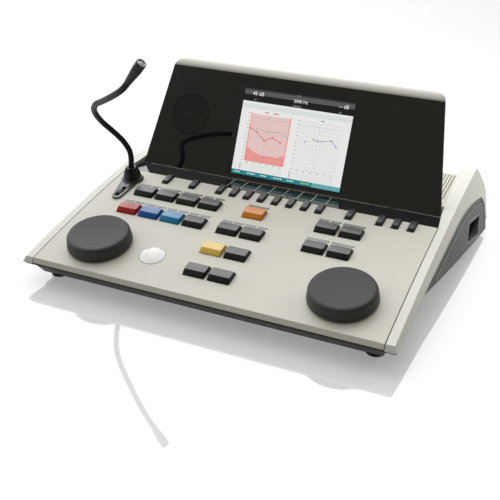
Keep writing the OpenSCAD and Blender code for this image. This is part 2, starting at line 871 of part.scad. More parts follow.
module control_board() {
    slope = atan((crown(board_back_y) - crown(board_front_y)) / (board_back_y - board_front_y));
    difference() {
        union() {
            color(board_green)
                translate([-board_half, board_front_y, crown(board_front_y) - board_depth])
                    rotate([slope, 0, 0])
                        cube([2 * board_half, (board_back_y - board_front_y) / cos(slope),
                            board_t]);
            color("#26282a") {
                for (k = KEYS)
                    at_crown(k[1], row(k[2]))
                        switch(switch_w, key_travel);
                for (s = SOFT_STEPS)
                    at_crown(soft_x(s), 0)
                        switch(switch_w - 2, soft_travel);
                at_crown(tone_at[0], tone_at[1])
                    switch(switch_w, key_travel);
                at_crown(-mic_x + lever_x, lever_y)
                    translate([-3, -7, -board_depth])
                        cube([6, 14, board_depth - 7]);
            }
            for (side = [-1, 1])
                at_crown(side * dial_x, dial_y) {
                    color("#26282a")
                        translate([-9, -9, -board_depth])
                            cube([18, 18, board_depth - skin - 1]);
                    color(steel)
                        translate([0, 0, -skin - 2])
                            cylinder(r = bush_r, h = skin + 2 + bush_top);
                }
        }
        for (side = [-1, 1])
            at_crown(side * dial_x, dial_y)
                translate([0, 0, -board_depth + 1.5])
                    cylinder(r = shaft_r + slack, h = 30);
        for (p = plate_screws)
            translate([p[0], p[1], 0])
                cylinder(r = boss_r + 0.5, h = 60);
        at_crown(-mic_x, mic_y)
            cylinder(r = neck_r + 2.6 + 0.3, h = 60, center = true);
    }
}

module main_board() {
    color(board_green)
        translate([-main_l / 2, main_front_y, main_z])
            cube([main_l, main_w, board_t]);
    color("#202224") {
        translate([-60, -10, main_z + board_t])
            cube([22, 22, 2]);
        translate([0, 20, main_z + board_t])
            cube([16, 16, 2]);
        translate([-30, 40, main_z + board_t])
            cube([14, 20, 3]);
    }
    color(steel) {
        translate([40, -20, main_z + board_t])
            cube([46, 60, 12]);
        for (i = [0 : 3])
            translate([-84, -24 + 16 * i, main_z + board_t])
                cylinder(r = 4, h = 10);
    }
}

module light_bars() {
    color(bar_grey)
        for (k = KEYS)
            at_crown(k[1] + bar_shift, row(k[2]) + bar_up)
                bars(k[4], 0, -skin - 0.5, bar_proud);
}

module fixings() {
    color(steel) {
        for (side = [-1, 1])
            translate([side * hinge_x - arm_w / 2 - hinge_block, hinge_y, hinge_z])
                rotate([0, 90, 0])
                    cylinder(r = pin_r, h = arm_w + 2 * hinge_block);
        for (p = concat(plate_screws, deck_screws))
            translate([p[0], p[1], floor_z - 0.6])
                difference() {
                    union() {
                        cylinder(r = screw_head_r, h = screw_head_h);
                        cylinder(r = screw_r, h = 12);
                    }
                    for (a = [0, 90])
                        rotate([0, 0, a])
                            translate([-0.4, -1.8, -1])
                                cube([0.8, 3.6, 1.9]);
                }
    }
}

// ---- Display head ----

// Local axes of the head: x, up the face, out of the face
module on_head() {
    translate([0, face_y, face_z])
        rotate([tilt, 0, 0])
            children();
}

// Outline of the whole head, smaller by inset
function head_outline(inset) = let (
    w0 = face_half - inset,
    top = shell_h - inset,
    wt = face_half - face_taper * shell_h - inset,
    r = face_corner - inset,
    lean_in = atan(face_taper)) concat(
    [[w0, inset]],
    arc([wt - r * (1 - tan(lean_in) / 2), top - r], r, lean_in, 90, 10),
    arc([-wt + r * (1 - tan(lean_in) / 2), top - r], r, 90, 180 - lean_in, 10),
    [[-w0, inset]]);

// Everything on the head below height v of its face
module below(v) {
    translate([-200, -10, -60])
        cube([400, v + 10, 120]);
}

// Rim along the top of the head: its section is a quarter of a circle, smaller by inset
module rim_round(inset) {
    translate([-200, face_h, -rim_h])
        rotate([0, 90, 0])
            cylinder(r = rim_h - inset, h = 400, $fn = 96);
}

module head_slab(n0, n1, outline) {
    translate([0, 0, n0])
        linear_extrude(height = n1 - n0)
            polygon(outline);
}

module display_front() {
    color(black)
        on_head()
            difference() {
                intersection() {
                    head_slab(-front_t, 0, head_outline(0));
                    below(face_h);
                }
                translate([screen_at[0], screen_at[1], 0])
                    cube([lcd_w, lcd_h, 4 * front_t], center = true);
                translate([speaker_at[0], speaker_at[1], 0])
                    speaker_holes();
            }
}

// Five rings of holes and the groove round them
module speaker_holes() {
    for (i = [0 : 4])
        let (r = 17 - 2.87 * i, n = round(2 * PI * r / 2.7))
            for (j = [0 : n - 1])
                rotate([0, 0, 360 * j / n])
                    translate([r, 0, 0])
                        cylinder(r = 0.65, h = 4 * front_t, center = true, $fn = 6);
    difference() {
        translate([0, 0, -0.5])
            cylinder(r = speaker_r + 1, h = 1);
        translate([0, 0, -1])
            cylinder(r = speaker_r + 0.4, h = 2);
    }
}

module display_window() {
    color("#1f2426")
        on_head()
            translate([screen_at[0], screen_at[1], -front_t / 2 - 0.2])
                cube([lcd_w - 0.2, lcd_h - 0.2, front_t - 0.6], center = true);
}

// Cuts that draft the sides of the shell, so that it narrows to the rear
module shell_drafts() {
    for (side = [0, 1])
        mirror([side, 0, 0])
            translate([face_half - shell_inset, 0, -front_t])
                rotate([0, 0, atan(face_taper)])
                    rotate([0, shell_draft, 0])
                        translate([0, -40, -60])
                            cube([60, 240, 64]);
}

module display_shell() {
    color(off_white)
        on_head()
            difference() {
                union() {
                    difference() {
                        union() {
                            intersection() {
                                head_slab(-head_t, -front_t, head_outline(shell_inset));
                                below(face_h + 0.15);
                            }
                            difference() {
                                intersection() {
                                    head_slab(-head_t, 0, head_outline(0));
                                    rim_round(0);
                                }
                                below(face_h + 0.1);
                            }
                        }
                        intersection() {
                            head_slab(-head_t + shell_t, 1,
                                head_outline(shell_inset + shell_t + 1));
                            union() {
                                below(face_h - 1);
                                rim_round(shell_t);
                            }
                        }
                        shell_drafts();
                    }
                    // blocks that hold the hinge pins
                    for (side = [-1, 1])
                        translate([side * hinge_x, hinge_up / 2 + 5, -(head_t + front_t) / 2])
                            cube([arm_w + 2 * arm_gap + 2 * hinge_block, hinge_up + 8,
                                head_t - front_t - 0.4], center = true);
                }
                // slots for the arms
                for (side = [-1, 1])
                    translate([side * hinge_x - arm_w / 2 - arm_gap, -1, -head_t - 1])
                        cube([arm_w + 2 * arm_gap, slot_up + 1, head_t - front_t + 1]);
                // pin holes
                for (side = [-1, 1])
                    translate([side * hinge_x, hinge_up, -hinge_in])
                        rotate([0, 90, 0])
                            cylinder(r = pin_r + slack, h = arm_w + 2 * hinge_block + 0.4,
                                center = true);
            }
}

module lcd_module() {
    color("#3a3f42")
        on_head()
            translate([screen_at[0] - lcd_w / 2 - 5, screen_at[1] - lcd_h / 2 - 0.15,
                    -front_t - 0.2 - 5])
                cube([lcd_w + 10, lcd_h + 7, 5]);
}

module speaker_driver() {
    color("#2a2a2a")
        on_head()
            translate([speaker_at[0], speaker_at[1], -front_t - 0.2])
                rotate([180, 0, 0])
                    rotate_extrude()
                        polygon([[0, 3], [8, 3], [speaker_r - 1, 0.4], [speaker_r - 1, 0],
                            [speaker_r, 0], [speaker_r, 1.6], [10, 4], [10, 6.6], [0, 6.6]]);
}

// ---- Controls ----

module dial(side) {
    color("#34322f")
        at_crown(side * dial_x, dial_y)
            rotate_extrude($fn = 96)
                polygon(concat(
                    [[0, -board_depth + 2], [shaft_r, -board_depth + 2],
                        [shaft_r, 1.2 + bush_top], [bush_r + 1, 1.2 + bush_top],
                        [bush_r + 1, 1.2]],
                    arc([dial_r - 1.3, 2.5], 1.3, -90, 0, 5),
                    arc([dial_top_r - dial_round, dial_h - dial_round], dial_round, 8, 90, 8),
                    [[dial_top_r - dial_round - 1.4, dial_h],
                        [dial_top_r - dial_round - 2.4, dial_h - 0.25],
                        [0, dial_h - 0.25]]));
}

module left_dial() {
    dial(-1);
}

module right_dial() {
    dial(1);
}

module tone_switch() {
    dome_r = 40;
    color("#e8e8e6")
        at_crown(tone_at[0], tone_at[1]) {
            intersection() {
                translate([0, 0, -skin - flange_gap - 0.5])
                    cylinder(r = tone_r, h = 20);
                translate([0, 0, 1.9 - dome_r])
                    sphere(r = dome_r, $fn = 180);
            }
            translate([0, 0, -skin - flange_gap - flange_t])
                cylinder(r = tone_r + flange_out, h = flange_t);
        }
}

module talk_lever() {
    color("#8d9091")
        at_crown(-mic_x + lever_x, lever_y) {
            translate([-lever_w / 2, -lever_l / 2, -6])
                cube([lever_w, lever_l, 9.2]);
            for (i = [-1 : 1])
                translate([-lever_w / 2, 1.8 * i - 0.3, 3])
                    cube([lever_w, 0.6, 0.5]);
        }
}

// Plate that joins two circles by their tangents
module teardrop(r0, p1, r1, h) {
    d = norm(p1);
    a = atan2(p1[1], p1[0]);
    s = acos((r0 - r1) / d);
    cylinder(r = r0, h = h);
    translate([p1[0], p1[1], 0])
        cylinder(r = r1, h = h);
    linear_extrude(height = h)
        polygon([
            [r0 * cos(a + s), r0 * sin(a + s)],
            [p1[0] + r1 * cos(a + s), p1[1] + r1 * sin(a + s)],
            [p1[0] + r1 * cos(a - s), p1[1] + r1 * sin(a - s)],
            [r0 * cos(a - s), r0 * sin(a - s)]]);
}

module mic_collet() {
    color("#77797a")
        at_crown(-mic_x, mic_y)
            difference() {
                union() {
                    teardrop(flange_r - 1.2, bezel_tip, bezel_tip_r, bezel_h);
                    cylinder(r = flange_r, h = 2.2);
                    translate([0, 0, -skin - 2])
                        cylinder(r = neck_r + 2.6, h = skin + 2.1);
                    cylinder(r1 = 8, r2 = neck_r + 1.4, h = collet_h);
                }
                translate([0, 0, -skin + 1])
                    cylinder(r = neck_r + slack, h = 40);
                // slits of the collet
                for (a = [0 : 60 : 150])
                    rotate([0, 0, a])
                        translate([-0.35, -10, 5.5])
                            cube([0.7, 20, 20]);
                // slot of the lever
                translate([lever_x, lever_y - mic_y, 0])
                    cube([lever_slot[0], lever_slot[1], 10], center = true);
            }
}

// Curve through four points
function curve(a, b, c, d, t) = 0.5 * (2 * b + (c - a) * t
    + (2 * a - 5 * b + 4 * c - d) * t * t + (3 * b - a - 3 * c + d) * t * t * t);

// Smooth path through the points, with steps rings between two of them
function smooth(p, steps) = let (n = len(p) - 1) concat(
    [for (i = [0 : n - 1], j = [0 : steps - 1])
        curve(p[max(i - 1, 0)], p[i], p[i + 1], p[min(i + 2, n)], j / steps)],
    [p[n]]);

// Round tube along a path in space
module tube(path, r, sides = 16) {
    n = len(path);
    ahead = [for (i = [0 : n - 1])
        let (d = path[min(i + 1, n - 1)] - path[max(i - 1, 0)]) d / norm(d)];
    points = [for (i = [0 : n - 1]) let (
            side = cross(ahead[i], [0, 1, 0]) / norm(cross(ahead[i], [0, 1, 0])),
            top = cross(side, ahead[i]))
        for (j = [0 : sides - 1]) let (a = 360 * j / sides)
            path[i] + r * cos(a) * side + r * sin(a) * top];
    walls = [for (i = [0 : n - 2], j = [0 : sides - 1])
        let (k = (j + 1) % sides, a = i * sides, b = a + sides)
        each [[a + j, a + k, b + k], [a + j, b + k, b + j]]];
    polyhedron(points = points, faces = concat(
        [[for (j = [sides - 1 : -1 : 0]) j]],
        walls,
        [[for (j = [0 : sides - 1]) (n - 1) * sides + j]]));
}

module mic_arm() {
    color(black)
        at_crown(-mic_x, mic_y) {
            translate([0, 0, -skin + 1.3])
                cylinder(r = neck_r, h = NECK_LOW[1][2] + skin);
            tube(smooth([for (i = [1 : len(NECK_LOW) - 1]) NECK_LOW[i]], 3), neck_r - 0.02);
            translate(knuckle)
                sphere(r = knuckle_r);
        }
}

module mic_boom() {
    color(black)
        at_crown(-mic_x, mic_y)
            difference() {
                tube(smooth(NECK_HIGH, 3), neck_r);
                translate(knuckle)
                    sphere(r = knuckle_r + knuckle_gap);
            }
}

module mic_capsule() {
    d = capsule_foot - capsule_before;
    color("#2b2b2c")
        at_crown(-mic_x, mic_y)
            translate(capsule_foot)
                rotate([0, acos(d[2] / norm(d)), atan2(d[1], d[0])])
                    rotate_extrude()
                        polygon(concat([[0, 0], [neck_r + 0.3, 0]],
                            [[neck_r + 0.8, 6], [capsule_r - 0.2, 13], [capsule_r, 15.5]],
                            arc([capsule_r - 1.2, capsule_l - 1.2], 1.2, 0, 90, 5),
                            [[0, capsule_l]]));
}

// ---- Keys ----

// Cap that narrows from base l by w to the top, with its opening's skirt and flange
module cap(l, w, h, top_l, top_w, shift, tint) {
    edge = 1;
    color(tint) {
        hull() {
            for (x = [-1, 1], y = [-1, 1]) {
                translate([x * (l / 2 - edge), y * (w / 2 - edge), 0.4])
                    cylinder(r = edge, h = 0.6, $fn = 16);
                translate([x * (top_l / 2 - edge), y * (top_w / 2 - edge) + shift, h - 0.3])
                    cylinder(r1 = edge, r2 = edge - 0.3, h = 0.3, $fn = 16);
            }
        }
        translate([-l / 2, -w / 2, -skin - flange_gap - flange_t])
            cube([l, w, skin + flange_gap + flange_t + 0.5]);
        translate([-l / 2 - flange_out, -w / 2 - flange_out, -skin - flange_gap - flange_t])
            cube([l + 2 * flange_out, w + 2 * flange_out, flange_t]);
    }
}

// Large key number i of the list
module large_key(i) {
    at_crown(KEYS[i][1], row(KEYS[i][2]))
        cap(key_l, key_w, key_h, key_l - 0.8, key_w - 6.3, 0.6, KEYS[i][3]);
}

// Function key number i of the list
module soft_key(i) {
    at_crown(soft_x(SOFT_STEPS[i]), soft_y)
        cap(soft_w, soft_l, soft_h, soft_w - 0.8, soft_l - 4, 0.6, dark_key);
}

module key_a1() { large_key(0); }
module key_a2() { large_key(1); }
module key_a3() { large_key(2); }
module key_a4() { large_key(3); }
module key_a5() { large_key(4); }
module key_a6() { large_key(5); }
module key_a7() { large_key(6); }
module key_b1() { large_key(7); }
module key_b2() { large_key(8); }
module key_b3() { large_key(9); }
module key_b4() { large_key(10); }
module key_b5() { large_key(11); }
module key_b6() { large_key(12); }
module key_b7() { large_key(13); }
module key_b8() { large_key(14); }
module key_c1() { large_key(15); }
module key_c2() { large_key(16); }
module key_d1() { large_key(17); }
module key_d2() { large_key(18); }
module soft_key_1() { soft_key(0); }
module soft_key_2() { soft_key(1); }
module soft_key_3() { soft_key(2); }
module soft_key_4() { soft_key(3); }
module soft_key_5() { soft_key(4); }
module soft_key_6() { soft_key(5); }
module soft_key_7() { soft_key(6); }
module soft_key_8() { soft_key(7); }
module side_key_1() { soft_key(8); }
module side_key_2() { soft_key(9); }
module side_key_3() { soft_key(10); }
module side_key_4() { soft_key(11); }
module side_key_5() { soft_key(12); }
module side_key_6() { soft_key(13); }

// ---- Drawing ----

top_plate();
left_cheek();
right_cheek();
side_grips();
bottom_case();
rear_deck();
connector_panel();
key_ledge();
control_board();
main_board();
light_bars();
sockets();
fixings();
feet();
display_front();
display_window();
display_shell();
lcd_module();
speaker_driver();
tone_switch();
talk_lever();
left_dial();
right_dial();
mic_collet();
mic_arm();
mic_boom();
mic_capsule();
key_a1();
key_a2();
key_a3();
key_a4();
key_a5();
key_a6();
key_a7();
key_b1();
key_b2();
key_b3();
key_b4();
key_b5();
key_b6();
key_b7();
key_b8();
key_c1();
key_c2();
key_d1();
key_d2();
soft_key_1();
soft_key_2();
soft_key_3();
soft_key_4();
soft_key_5();
soft_key_6();
soft_key_7();
soft_key_8();
side_key_1();
side_key_2();
side_key_3();
side_key_4();
side_key_5();
side_key_6();
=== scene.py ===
"""Desktop audiometer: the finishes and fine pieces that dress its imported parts."""

import json
import math

import bmesh
import bpy
from bpy.props import (
    FloatProperty, FloatVectorProperty, IntProperty, PointerProperty, StringProperty
)
from mathutils import Matrix, Vector


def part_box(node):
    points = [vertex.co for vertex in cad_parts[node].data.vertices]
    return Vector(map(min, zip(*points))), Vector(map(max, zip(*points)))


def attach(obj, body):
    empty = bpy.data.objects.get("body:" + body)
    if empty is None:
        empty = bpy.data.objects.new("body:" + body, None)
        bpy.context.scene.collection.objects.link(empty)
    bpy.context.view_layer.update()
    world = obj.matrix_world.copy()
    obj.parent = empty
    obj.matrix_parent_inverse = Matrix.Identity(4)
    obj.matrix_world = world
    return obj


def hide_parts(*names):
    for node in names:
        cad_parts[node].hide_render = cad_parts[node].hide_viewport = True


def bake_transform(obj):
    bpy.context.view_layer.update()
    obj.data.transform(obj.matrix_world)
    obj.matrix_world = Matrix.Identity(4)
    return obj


bl_info = {
    "name": "Desktop audiometer",
    "version": (1, 0, 0),
    "blender": (4, 5, 0),
    "location": "View3D > Sidebar > Audiometer",
    "description": "Builds the finishes and fine pieces of a desktop audiometer",
    "category": "Object",
}

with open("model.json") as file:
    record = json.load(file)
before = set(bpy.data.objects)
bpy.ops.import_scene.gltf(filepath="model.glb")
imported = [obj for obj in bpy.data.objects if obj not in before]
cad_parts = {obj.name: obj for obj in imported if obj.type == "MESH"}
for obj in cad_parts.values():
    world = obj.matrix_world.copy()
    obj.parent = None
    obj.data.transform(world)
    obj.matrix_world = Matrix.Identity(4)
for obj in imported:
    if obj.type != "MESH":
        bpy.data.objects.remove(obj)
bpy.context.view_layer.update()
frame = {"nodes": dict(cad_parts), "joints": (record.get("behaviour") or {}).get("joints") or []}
JOINTS = {joint["name"]: joint for joint in frame["joints"]}
MM = 0.001


# ---- Sizes and colours that a user would change ----


class CaseSizes(bpy.types.PropertyGroup):
    """The crowned top that every control stands on."""

    crown_radius: FloatProperty(
        name="Crown radius",
        description="Radius of the crowned top, seen from the side",
        default=1.612,
        unit="LENGTH",
    )
    crest_y: FloatProperty(
        name="Crest",
        description="Where the crown is highest, towards the rear",
        default=0.130,
        unit="LENGTH",
    )
    crest_z: FloatProperty(
        name="Crest height",
        description="Height of the crown there",
        default=0.0474,
        unit="LENGTH",
    )


class KeySizes(bpy.types.PropertyGroup):
    """The caps of the large keys and the function keys."""

    length: FloatProperty(
        name="Key length", description="Side to side", default=0.0195, unit="LENGTH"
    )
    width: FloatProperty(
        name="Key width", description="Front to rear", default=0.0156, unit="LENGTH"
    )
    height: FloatProperty(
        name="Key height", description="Over the plate", default=0.004, unit="LENGTH"
    )
    soft_length: FloatProperty(
        name="Function key width",
        description="Side to side",
        default=0.0063,
        unit="LENGTH",
    )
    soft_width: FloatProperty(
        name="Function key length",
        description="Front to rear",
        default=0.0156,
        unit="LENGTH",
    )
    soft_height: FloatProperty(
        name="Function key height",
        description="Over the plate",
        default=0.0025,
        unit="LENGTH",
    )
    corner: FloatProperty(
        name="Corner radius",
        description="Rounding of a cap's upright corners",
        default=0.0011,
        unit="LENGTH",
    )


class DialSizes(bpy.types.PropertyGroup):
    """The two large dials."""

    radius: FloatProperty(
        name="Radius", description="At the lower rim", default=0.0288, unit="LENGTH"
    )
    top_radius: FloatProperty(
        name="Top radius", description="At its rounding", default=0.0279, unit="LENGTH"
    )
    height: FloatProperty(
        name="Height", description="Over the plate", default=0.0122, unit="LENGTH"
    )
    steps: IntProperty(
        name="Steps", description="Faces round a dial", default=160, min=24
    )


class HeadSizes(bpy.types.PropertyGroup):
    """The folding display head."""

    tilt: FloatProperty(
        name="Tilt",
        description="Angle of the face from the horizontal",
        default=math.radians(64.56),
        subtype="ANGLE",
    )
    screen_width: FloatProperty(
        name="Screen width", description="Visible", default=0.1129, unit="LENGTH"
    )
    screen_height: FloatProperty(
        name="Screen height", description="Visible", default=0.0847, unit="LENGTH"
    )
    front_thickness: FloatProperty(
        name="Front", description="Thickness", default=0.0025, unit="LENGTH"
    )


class PanelSizes(bpy.types.PropertyGroup):
    """The dark side panels and the arch over them."""

    draft: FloatProperty(
        name="Draft",
        description="Outward slope of the side walls",
        default=math.radians(28),
        subtype="ANGLE",
    )
    half_width: FloatProperty(
        name="Half width",
        description="From the middle to the outer edge of a cheek's top",
        default=0.16425,
        unit="LENGTH",
    )
    step: FloatProperty(
        name="Step",
        description="From the side wall down to the panel",
        default=0.0005,
        unit="LENGTH",
    )
    # width of the beads that carry the painted edge highlights
    line: FloatProperty(
        name="Painted highlight line", description="Width", default=0.00055, unit="LENGTH"
    )
    rib_pitch: FloatProperty(
        name="Rib pitch",
        description="Spacing of the ribs that the fingers feel",
        default=0.0046,
        unit="LENGTH",
    )


class MicSizes(bpy.types.PropertyGroup):
    """The gooseneck microphone."""

    neck_radius: FloatProperty(
        name="Neck radius", description="Of the sleeve", default=0.0027, unit="LENGTH"
    )
    coil_pitch: FloatProperty(
        name="Coil pitch",
        description="Spacing of the turns under the sleeve",
        default=0.0018,
        unit="LENGTH",
    )
    capsule_radius: FloatProperty(
        name="Capsule radius", description="At its end", default=0.0043, unit="LENGTH"
    )
    capsule_length: FloatProperty(
        name="Capsule length", description="Overall", default=0.0235, unit="LENGTH"
    )
    flange_radius: FloatProperty(
        name="Flange radius",
        description="Of the collet's foot",
        default=0.0107,
        unit="LENGTH",
    )
    collet_height: FloatProperty(
        name="Collet height", description="Over the plate", default=0.014, unit="LENGTH"
    )


class Finishes(bpy.types.PropertyGroup):
    """Base colours, as sRGB hex values."""

    cover: StringProperty(
        name="Cover", description="Off-white plate and shells", default="#CBC9BF"
    )
    cheek: StringProperty(
        name="Cheeks", description="Paler side covers", default="#D6D5CE"
    )
    panel: StringProperty(
        name="Side panels", description="Dark grey", default="#4A4D4A"
    )
    key: StringProperty(name="Keys", description="Dark grey", default="#1C1C1C")
    gloss: StringProperty(
        name="Gloss black", description="Head and ledge", default="#101013"
    )
    dial: StringProperty(name="Dials", description="Soft black", default="#343230")


class StageSizes(bpy.types.PropertyGroup):
    """Camera, lamps and floor."""

    camera_at: FloatVectorProperty(
        name="Camera",
        description="Where the camera stands",
        default=(0.2741, -0.6531, 0.3920),
        subtype="XYZ",
    )
    camera_yaw: FloatProperty(
        name="Yaw", description="Of the camera", default=24.011, min=-180, max=180
    )
    camera_pitch: FloatProperty(
        name="Pitch", description="Below the horizon", default=29.479, min=-90, max=90
    )
    lens: FloatProperty(
        name="Lens", description="In mm on a 36 mm sensor", default=61.45
    )
    rear_light: FloatProperty(
        name="Rear light",
        description="Brightness of the room behind and above the object",
        default=1.6,
    )
    front_light: FloatProperty(
        name="Front light", description="Brightness in front of it", default=0.2
    )
    softbox: FloatProperty(
        name="Softbox",
        description="Added brightness of the soft box behind and above it",
        default=1.0,
    )
    side_light: FloatProperty(
        name="Side light",
        description="Power of the lamp behind it on its right, in watts",
        default=1.4,
    )
    glow: FloatProperty(
        name="Table glow",
        description="Light that the table sends up by itself, which fills shadows",
        default=0.34,
    )
    bounce: FloatProperty(
        name="Bounce",
        description="Share of its light that the table throws back",
        default=0.25,
        min=0,
        max=1,
    )


# ---- Colours and shader nodes ----


def linear(hex_colour):
    """An sRGB hex value such as #CFCDC4 as linear red, green, blue and alpha."""
    values = [int(hex_colour[i : i + 2], 16) / 255 for i in (1, 3, 5)]
    return [
        v / 12.92 if v <= 0.04045 else ((v + 0.055) / 1.055) ** 2.4 for v in values
    ] + [1]


def add_node(tree, kind, links=(), **settings):
    """Adds a node. Settings name its properties or its inputs; links are
    (input, node, output) triples that feed it."""
    node = tree.nodes.new(kind)
    for name, value in settings.items():
        label = name.replace("_", " ")
        if hasattr(node, name):
            setattr(node, name, value)
        elif label in node.inputs:
            node.inputs[label].default_value = value
        else:
            raise KeyError(f"{kind} has no setting {name}")
    for target, source, output in links:
        tree.links.new(source.outputs[output], node.inputs[target])
    return node


def new_material(name, hex_colour, **settings):
    """A material with one Principled shader; settings are its input values."""
    material = bpy.data.materials.new(name)
    material.use_nodes = True
    shader = material.node_tree.nodes["Principled BSDF"]
    shader.inputs["Base Color"].default_value = linear(hex_colour)
    for label, value in settings.items():
        shader.inputs[label.replace("_", " ")].default_value = value
    return material, material.node_tree, shader


def wave_scale(pitch):
    """The Scale of a Wave node whose bands lie pitch metres apart."""
    return math.tau / (20 * pitch)


def grain(tree, shader, spacing, height, variation=0.0, hex_colour=None, edge=0.0):
    """Moulded grain: bumps that lie spacing apart and stand height high, with the
    colour varied by variation and corners that catch light over edge."""
    place = add_node(tree, "ShaderNodeTexCoord")
    noise = add_node(
        tree,
        "ShaderNodeTexNoise",
        [("Vector", place, "Object")],
        Scale=1 / spacing,
        Detail=2.0,
        Roughness=0.6,
    )
    bump = add_node(
        tree,
        "ShaderNodeBump",
        [("Height", noise, "Fac")],
        Strength=0.5,
        Distance=height,
    )
    if edge:
        corner = add_node(tree, "ShaderNodeBevel", Radius=edge, samples=6)
        tree.links.new(corner.outputs["Normal"], bump.inputs["Normal"])
    tree.links.new(bump.outputs["Normal"], shader.inputs["Normal"])
    if variation:
        cloud = add_node(
            tree,
            "ShaderNodeTexNoise",
            [("Vector", place, "Object")],
            Scale=18.0,
            Detail=3.0,
        )
        mix = add_node(
            tree, "ShaderNodeMix", [("Factor", cloud, "Fac")], data_type="RGBA"
        )
        base = linear(hex_colour)
        mix.inputs["A"].default_value = [c * (1 - variation) for c in base[:3]] + [1]
        mix.inputs["B"].default_value = [c * (1 + variation) for c in base[:3]] + [1]
        tree.links.new(mix.outputs["Result"], shader.inputs["Base Color"])


def towards_sky(tree, place, direction, low, high):
    """A smooth range node that rises where the sky lies nearer to direction."""
    towards = Vector(direction).normalized()
    dot = add_node(
        tree, "ShaderNodeVectorMath", [(0, place, "Generated")], operation="DOT_PRODUCT"
    )
    dot.inputs[1].default_value = towards
    return add_node(
        tree,
        "ShaderNodeMapRange",
        [("Value", dot, "Value")],
        interpolation_type="SMOOTHSTEP",
        From_Min=low,
        From_Max=high,
        To_Min=0.0,
    )


# Each function below makes one real finish.


def moulded_abs(name, hex_colour, rough=0.46, edge=0.0006, shine=0.4):
    """ABS moulded against a spark-eroded tool: a fine satin grain that scatters
    light softly and leaves a broad, weak highlight."""
    material, tree, shader = new_material(
        name, hex_colour, Roughness=rough, IOR=1.53, Specular_IOR_Level=shine
    )
    grain(tree, shader, 0.0006, 0.00003, 0.02, hex_colour, edge)
    return material


def ribbed_abs(name, hex_colour, pitch):
    """Dark ABS side panel: satin grain, with shallow upright ribs for the fingers
    that fade out towards the rear. Painted highlight and shade: the colour is
    lighter on the rib crests and darker between them."""
    material, tree, shader = new_material(
        name, hex_colour, Roughness=0.36, IOR=1.53, Specular_IOR_Level=0.5
    )
    place = add_node(tree, "ShaderNodeTexCoord")
    parts = add_node(tree, "ShaderNodeSeparateXYZ", [("Vector", place, "Object")])
    ribs = add_node(
        tree,
        "ShaderNodeTexWave",
        [("Vector", place, "Object")],
        bands_direction="Y",
        wave_profile="SIN",
        Scale=wave_scale(pitch),
        Distortion=0.6,
        Detail=1.0,
    )
    fade = add_node(
        tree,
        "ShaderNodeMapRange",
        [("Value", parts, "Y")],
        From_Min=0.05,
        From_Max=0.02,
        To_Min=0.0,
        To_Max=1.0,
    )
    height = add_node(
        tree,
        "ShaderNodeMath",
        [(0, ribs, "Fac"), (1, fade, "Result")],
        operation="MULTIPLY",
    )
    noise = add_node(
        tree,
        "ShaderNodeTexNoise",
        [("Vector", place, "Object")],
        Scale=1 / 0.0006,
        Detail=2.0,
    )
    fine = add_node(
        tree,
        "ShaderNodeBump",
        [("Height", noise, "Fac")],
        Strength=0.4,
        Distance=0.00003,
    )
    bump = add_node(
        tree,
        "ShaderNodeBump",
        [("Height", height, 0), ("Normal", fine, "Normal")],
        Strength=0.8,
        Distance=0.0006,
    )
    tree.links.new(bump.outputs["Normal"], shader.inputs["Normal"])
    # painted highlight and shade: lighter on the rib crests, darker between them and where the
    # ribs fade out
    shade = add_node(tree, "ShaderNodeMix", [("Factor", height, 0)], data_type="RGBA")
    base = linear(hex_colour)
    shade.inputs["A"].default_value = [c * 0.85 for c in base[:3]] + [1]
    shade.inputs["B"].default_value = [c * 1.25 for c in base[:3]] + [1]
    tree.links.new(shade.outputs["Result"], shader.inputs["Base Color"])
    return material


def polished_acrylic(name, hex_colour, shine=0.38):
    """Cast acrylic with a polished face: deep black that mirrors the room, with
    only the faintest waviness and a trace of wiped dust in its gloss."""
    material, tree, shader = new_material(
        name, hex_colour, IOR=1.49, Specular_IOR_Level=shine
    )
    place = add_node(tree, "ShaderNodeTexCoord")
    wave = add_node(
        tree,
        "ShaderNodeTexNoise",
        [("Vector", place, "Object")],
        Scale=30.0,
        Detail=1.0,
    )
    bump = add_node(
        tree,
        "ShaderNodeBump",
        [("Height", wave, "Fac")],
        Strength=0.12,
        Distance=0.0001,
    )
    tree.links.new(bump.outputs["Normal"], shader.inputs["Normal"])
    dust = add_node(
        tree,
        "ShaderNodeTexNoise",
        [("Vector", place, "Object")],
        Scale=60.0,
        Detail=5.0,
    )
    gloss = add_node(
        tree, "ShaderNodeMapRange", [("Value", dust, "Fac")], To_Min=0.03, To_Max=0.09
    )
    tree.links.new(gloss.outputs["Result"], shader.inputs["Roughness"])
    return material


def key_plastic(name, hex_colour):
    """PBT key cap: close-grained. Its reflection is set by the way each face points:
    full on the flat top, for a painted sheen there, and weak on the flanks, which
    keeps them in painted shade."""
    material, tree, shader = new_material(name, hex_colour, Roughness=0.38, IOR=1.55)
    grain(tree, shader, 0.0004, 0.00002, 0.03, hex_colour, 0.0003)
    surface = add_node(tree, "ShaderNodeNewGeometry")
    upright = add_node(
        tree, "ShaderNodeSeparateXYZ", [("Vector", surface, "True Normal")]
    )
    # painted sheen and shade: reflection at full strength where the face points up, much weaker
    # on the flanks
    shine = add_node(
        tree,
        "ShaderNodeMapRange",
        [("Value", upright, "Z")],
        From_Min=0.9,
        From_Max=0.98,
        To_Min=0.16,
        To_Max=1.0,
    )
    tree.links.new(shine.outputs["Result"], shader.inputs["Specular IOR Level"])
    return material


def soft_touch(name, hex_colour):
    """Soft-touch lacquer over ABS: matte and velvety, with weak, broad highlights."""
    material, tree, shader = new_material(
        name, hex_colour, Roughness=0.5, IOR=1.5, Specular_IOR_Level=0.35
    )
    grain(tree, shader, 0.0005, 0.00003, 0.03, hex_colour)
    return material


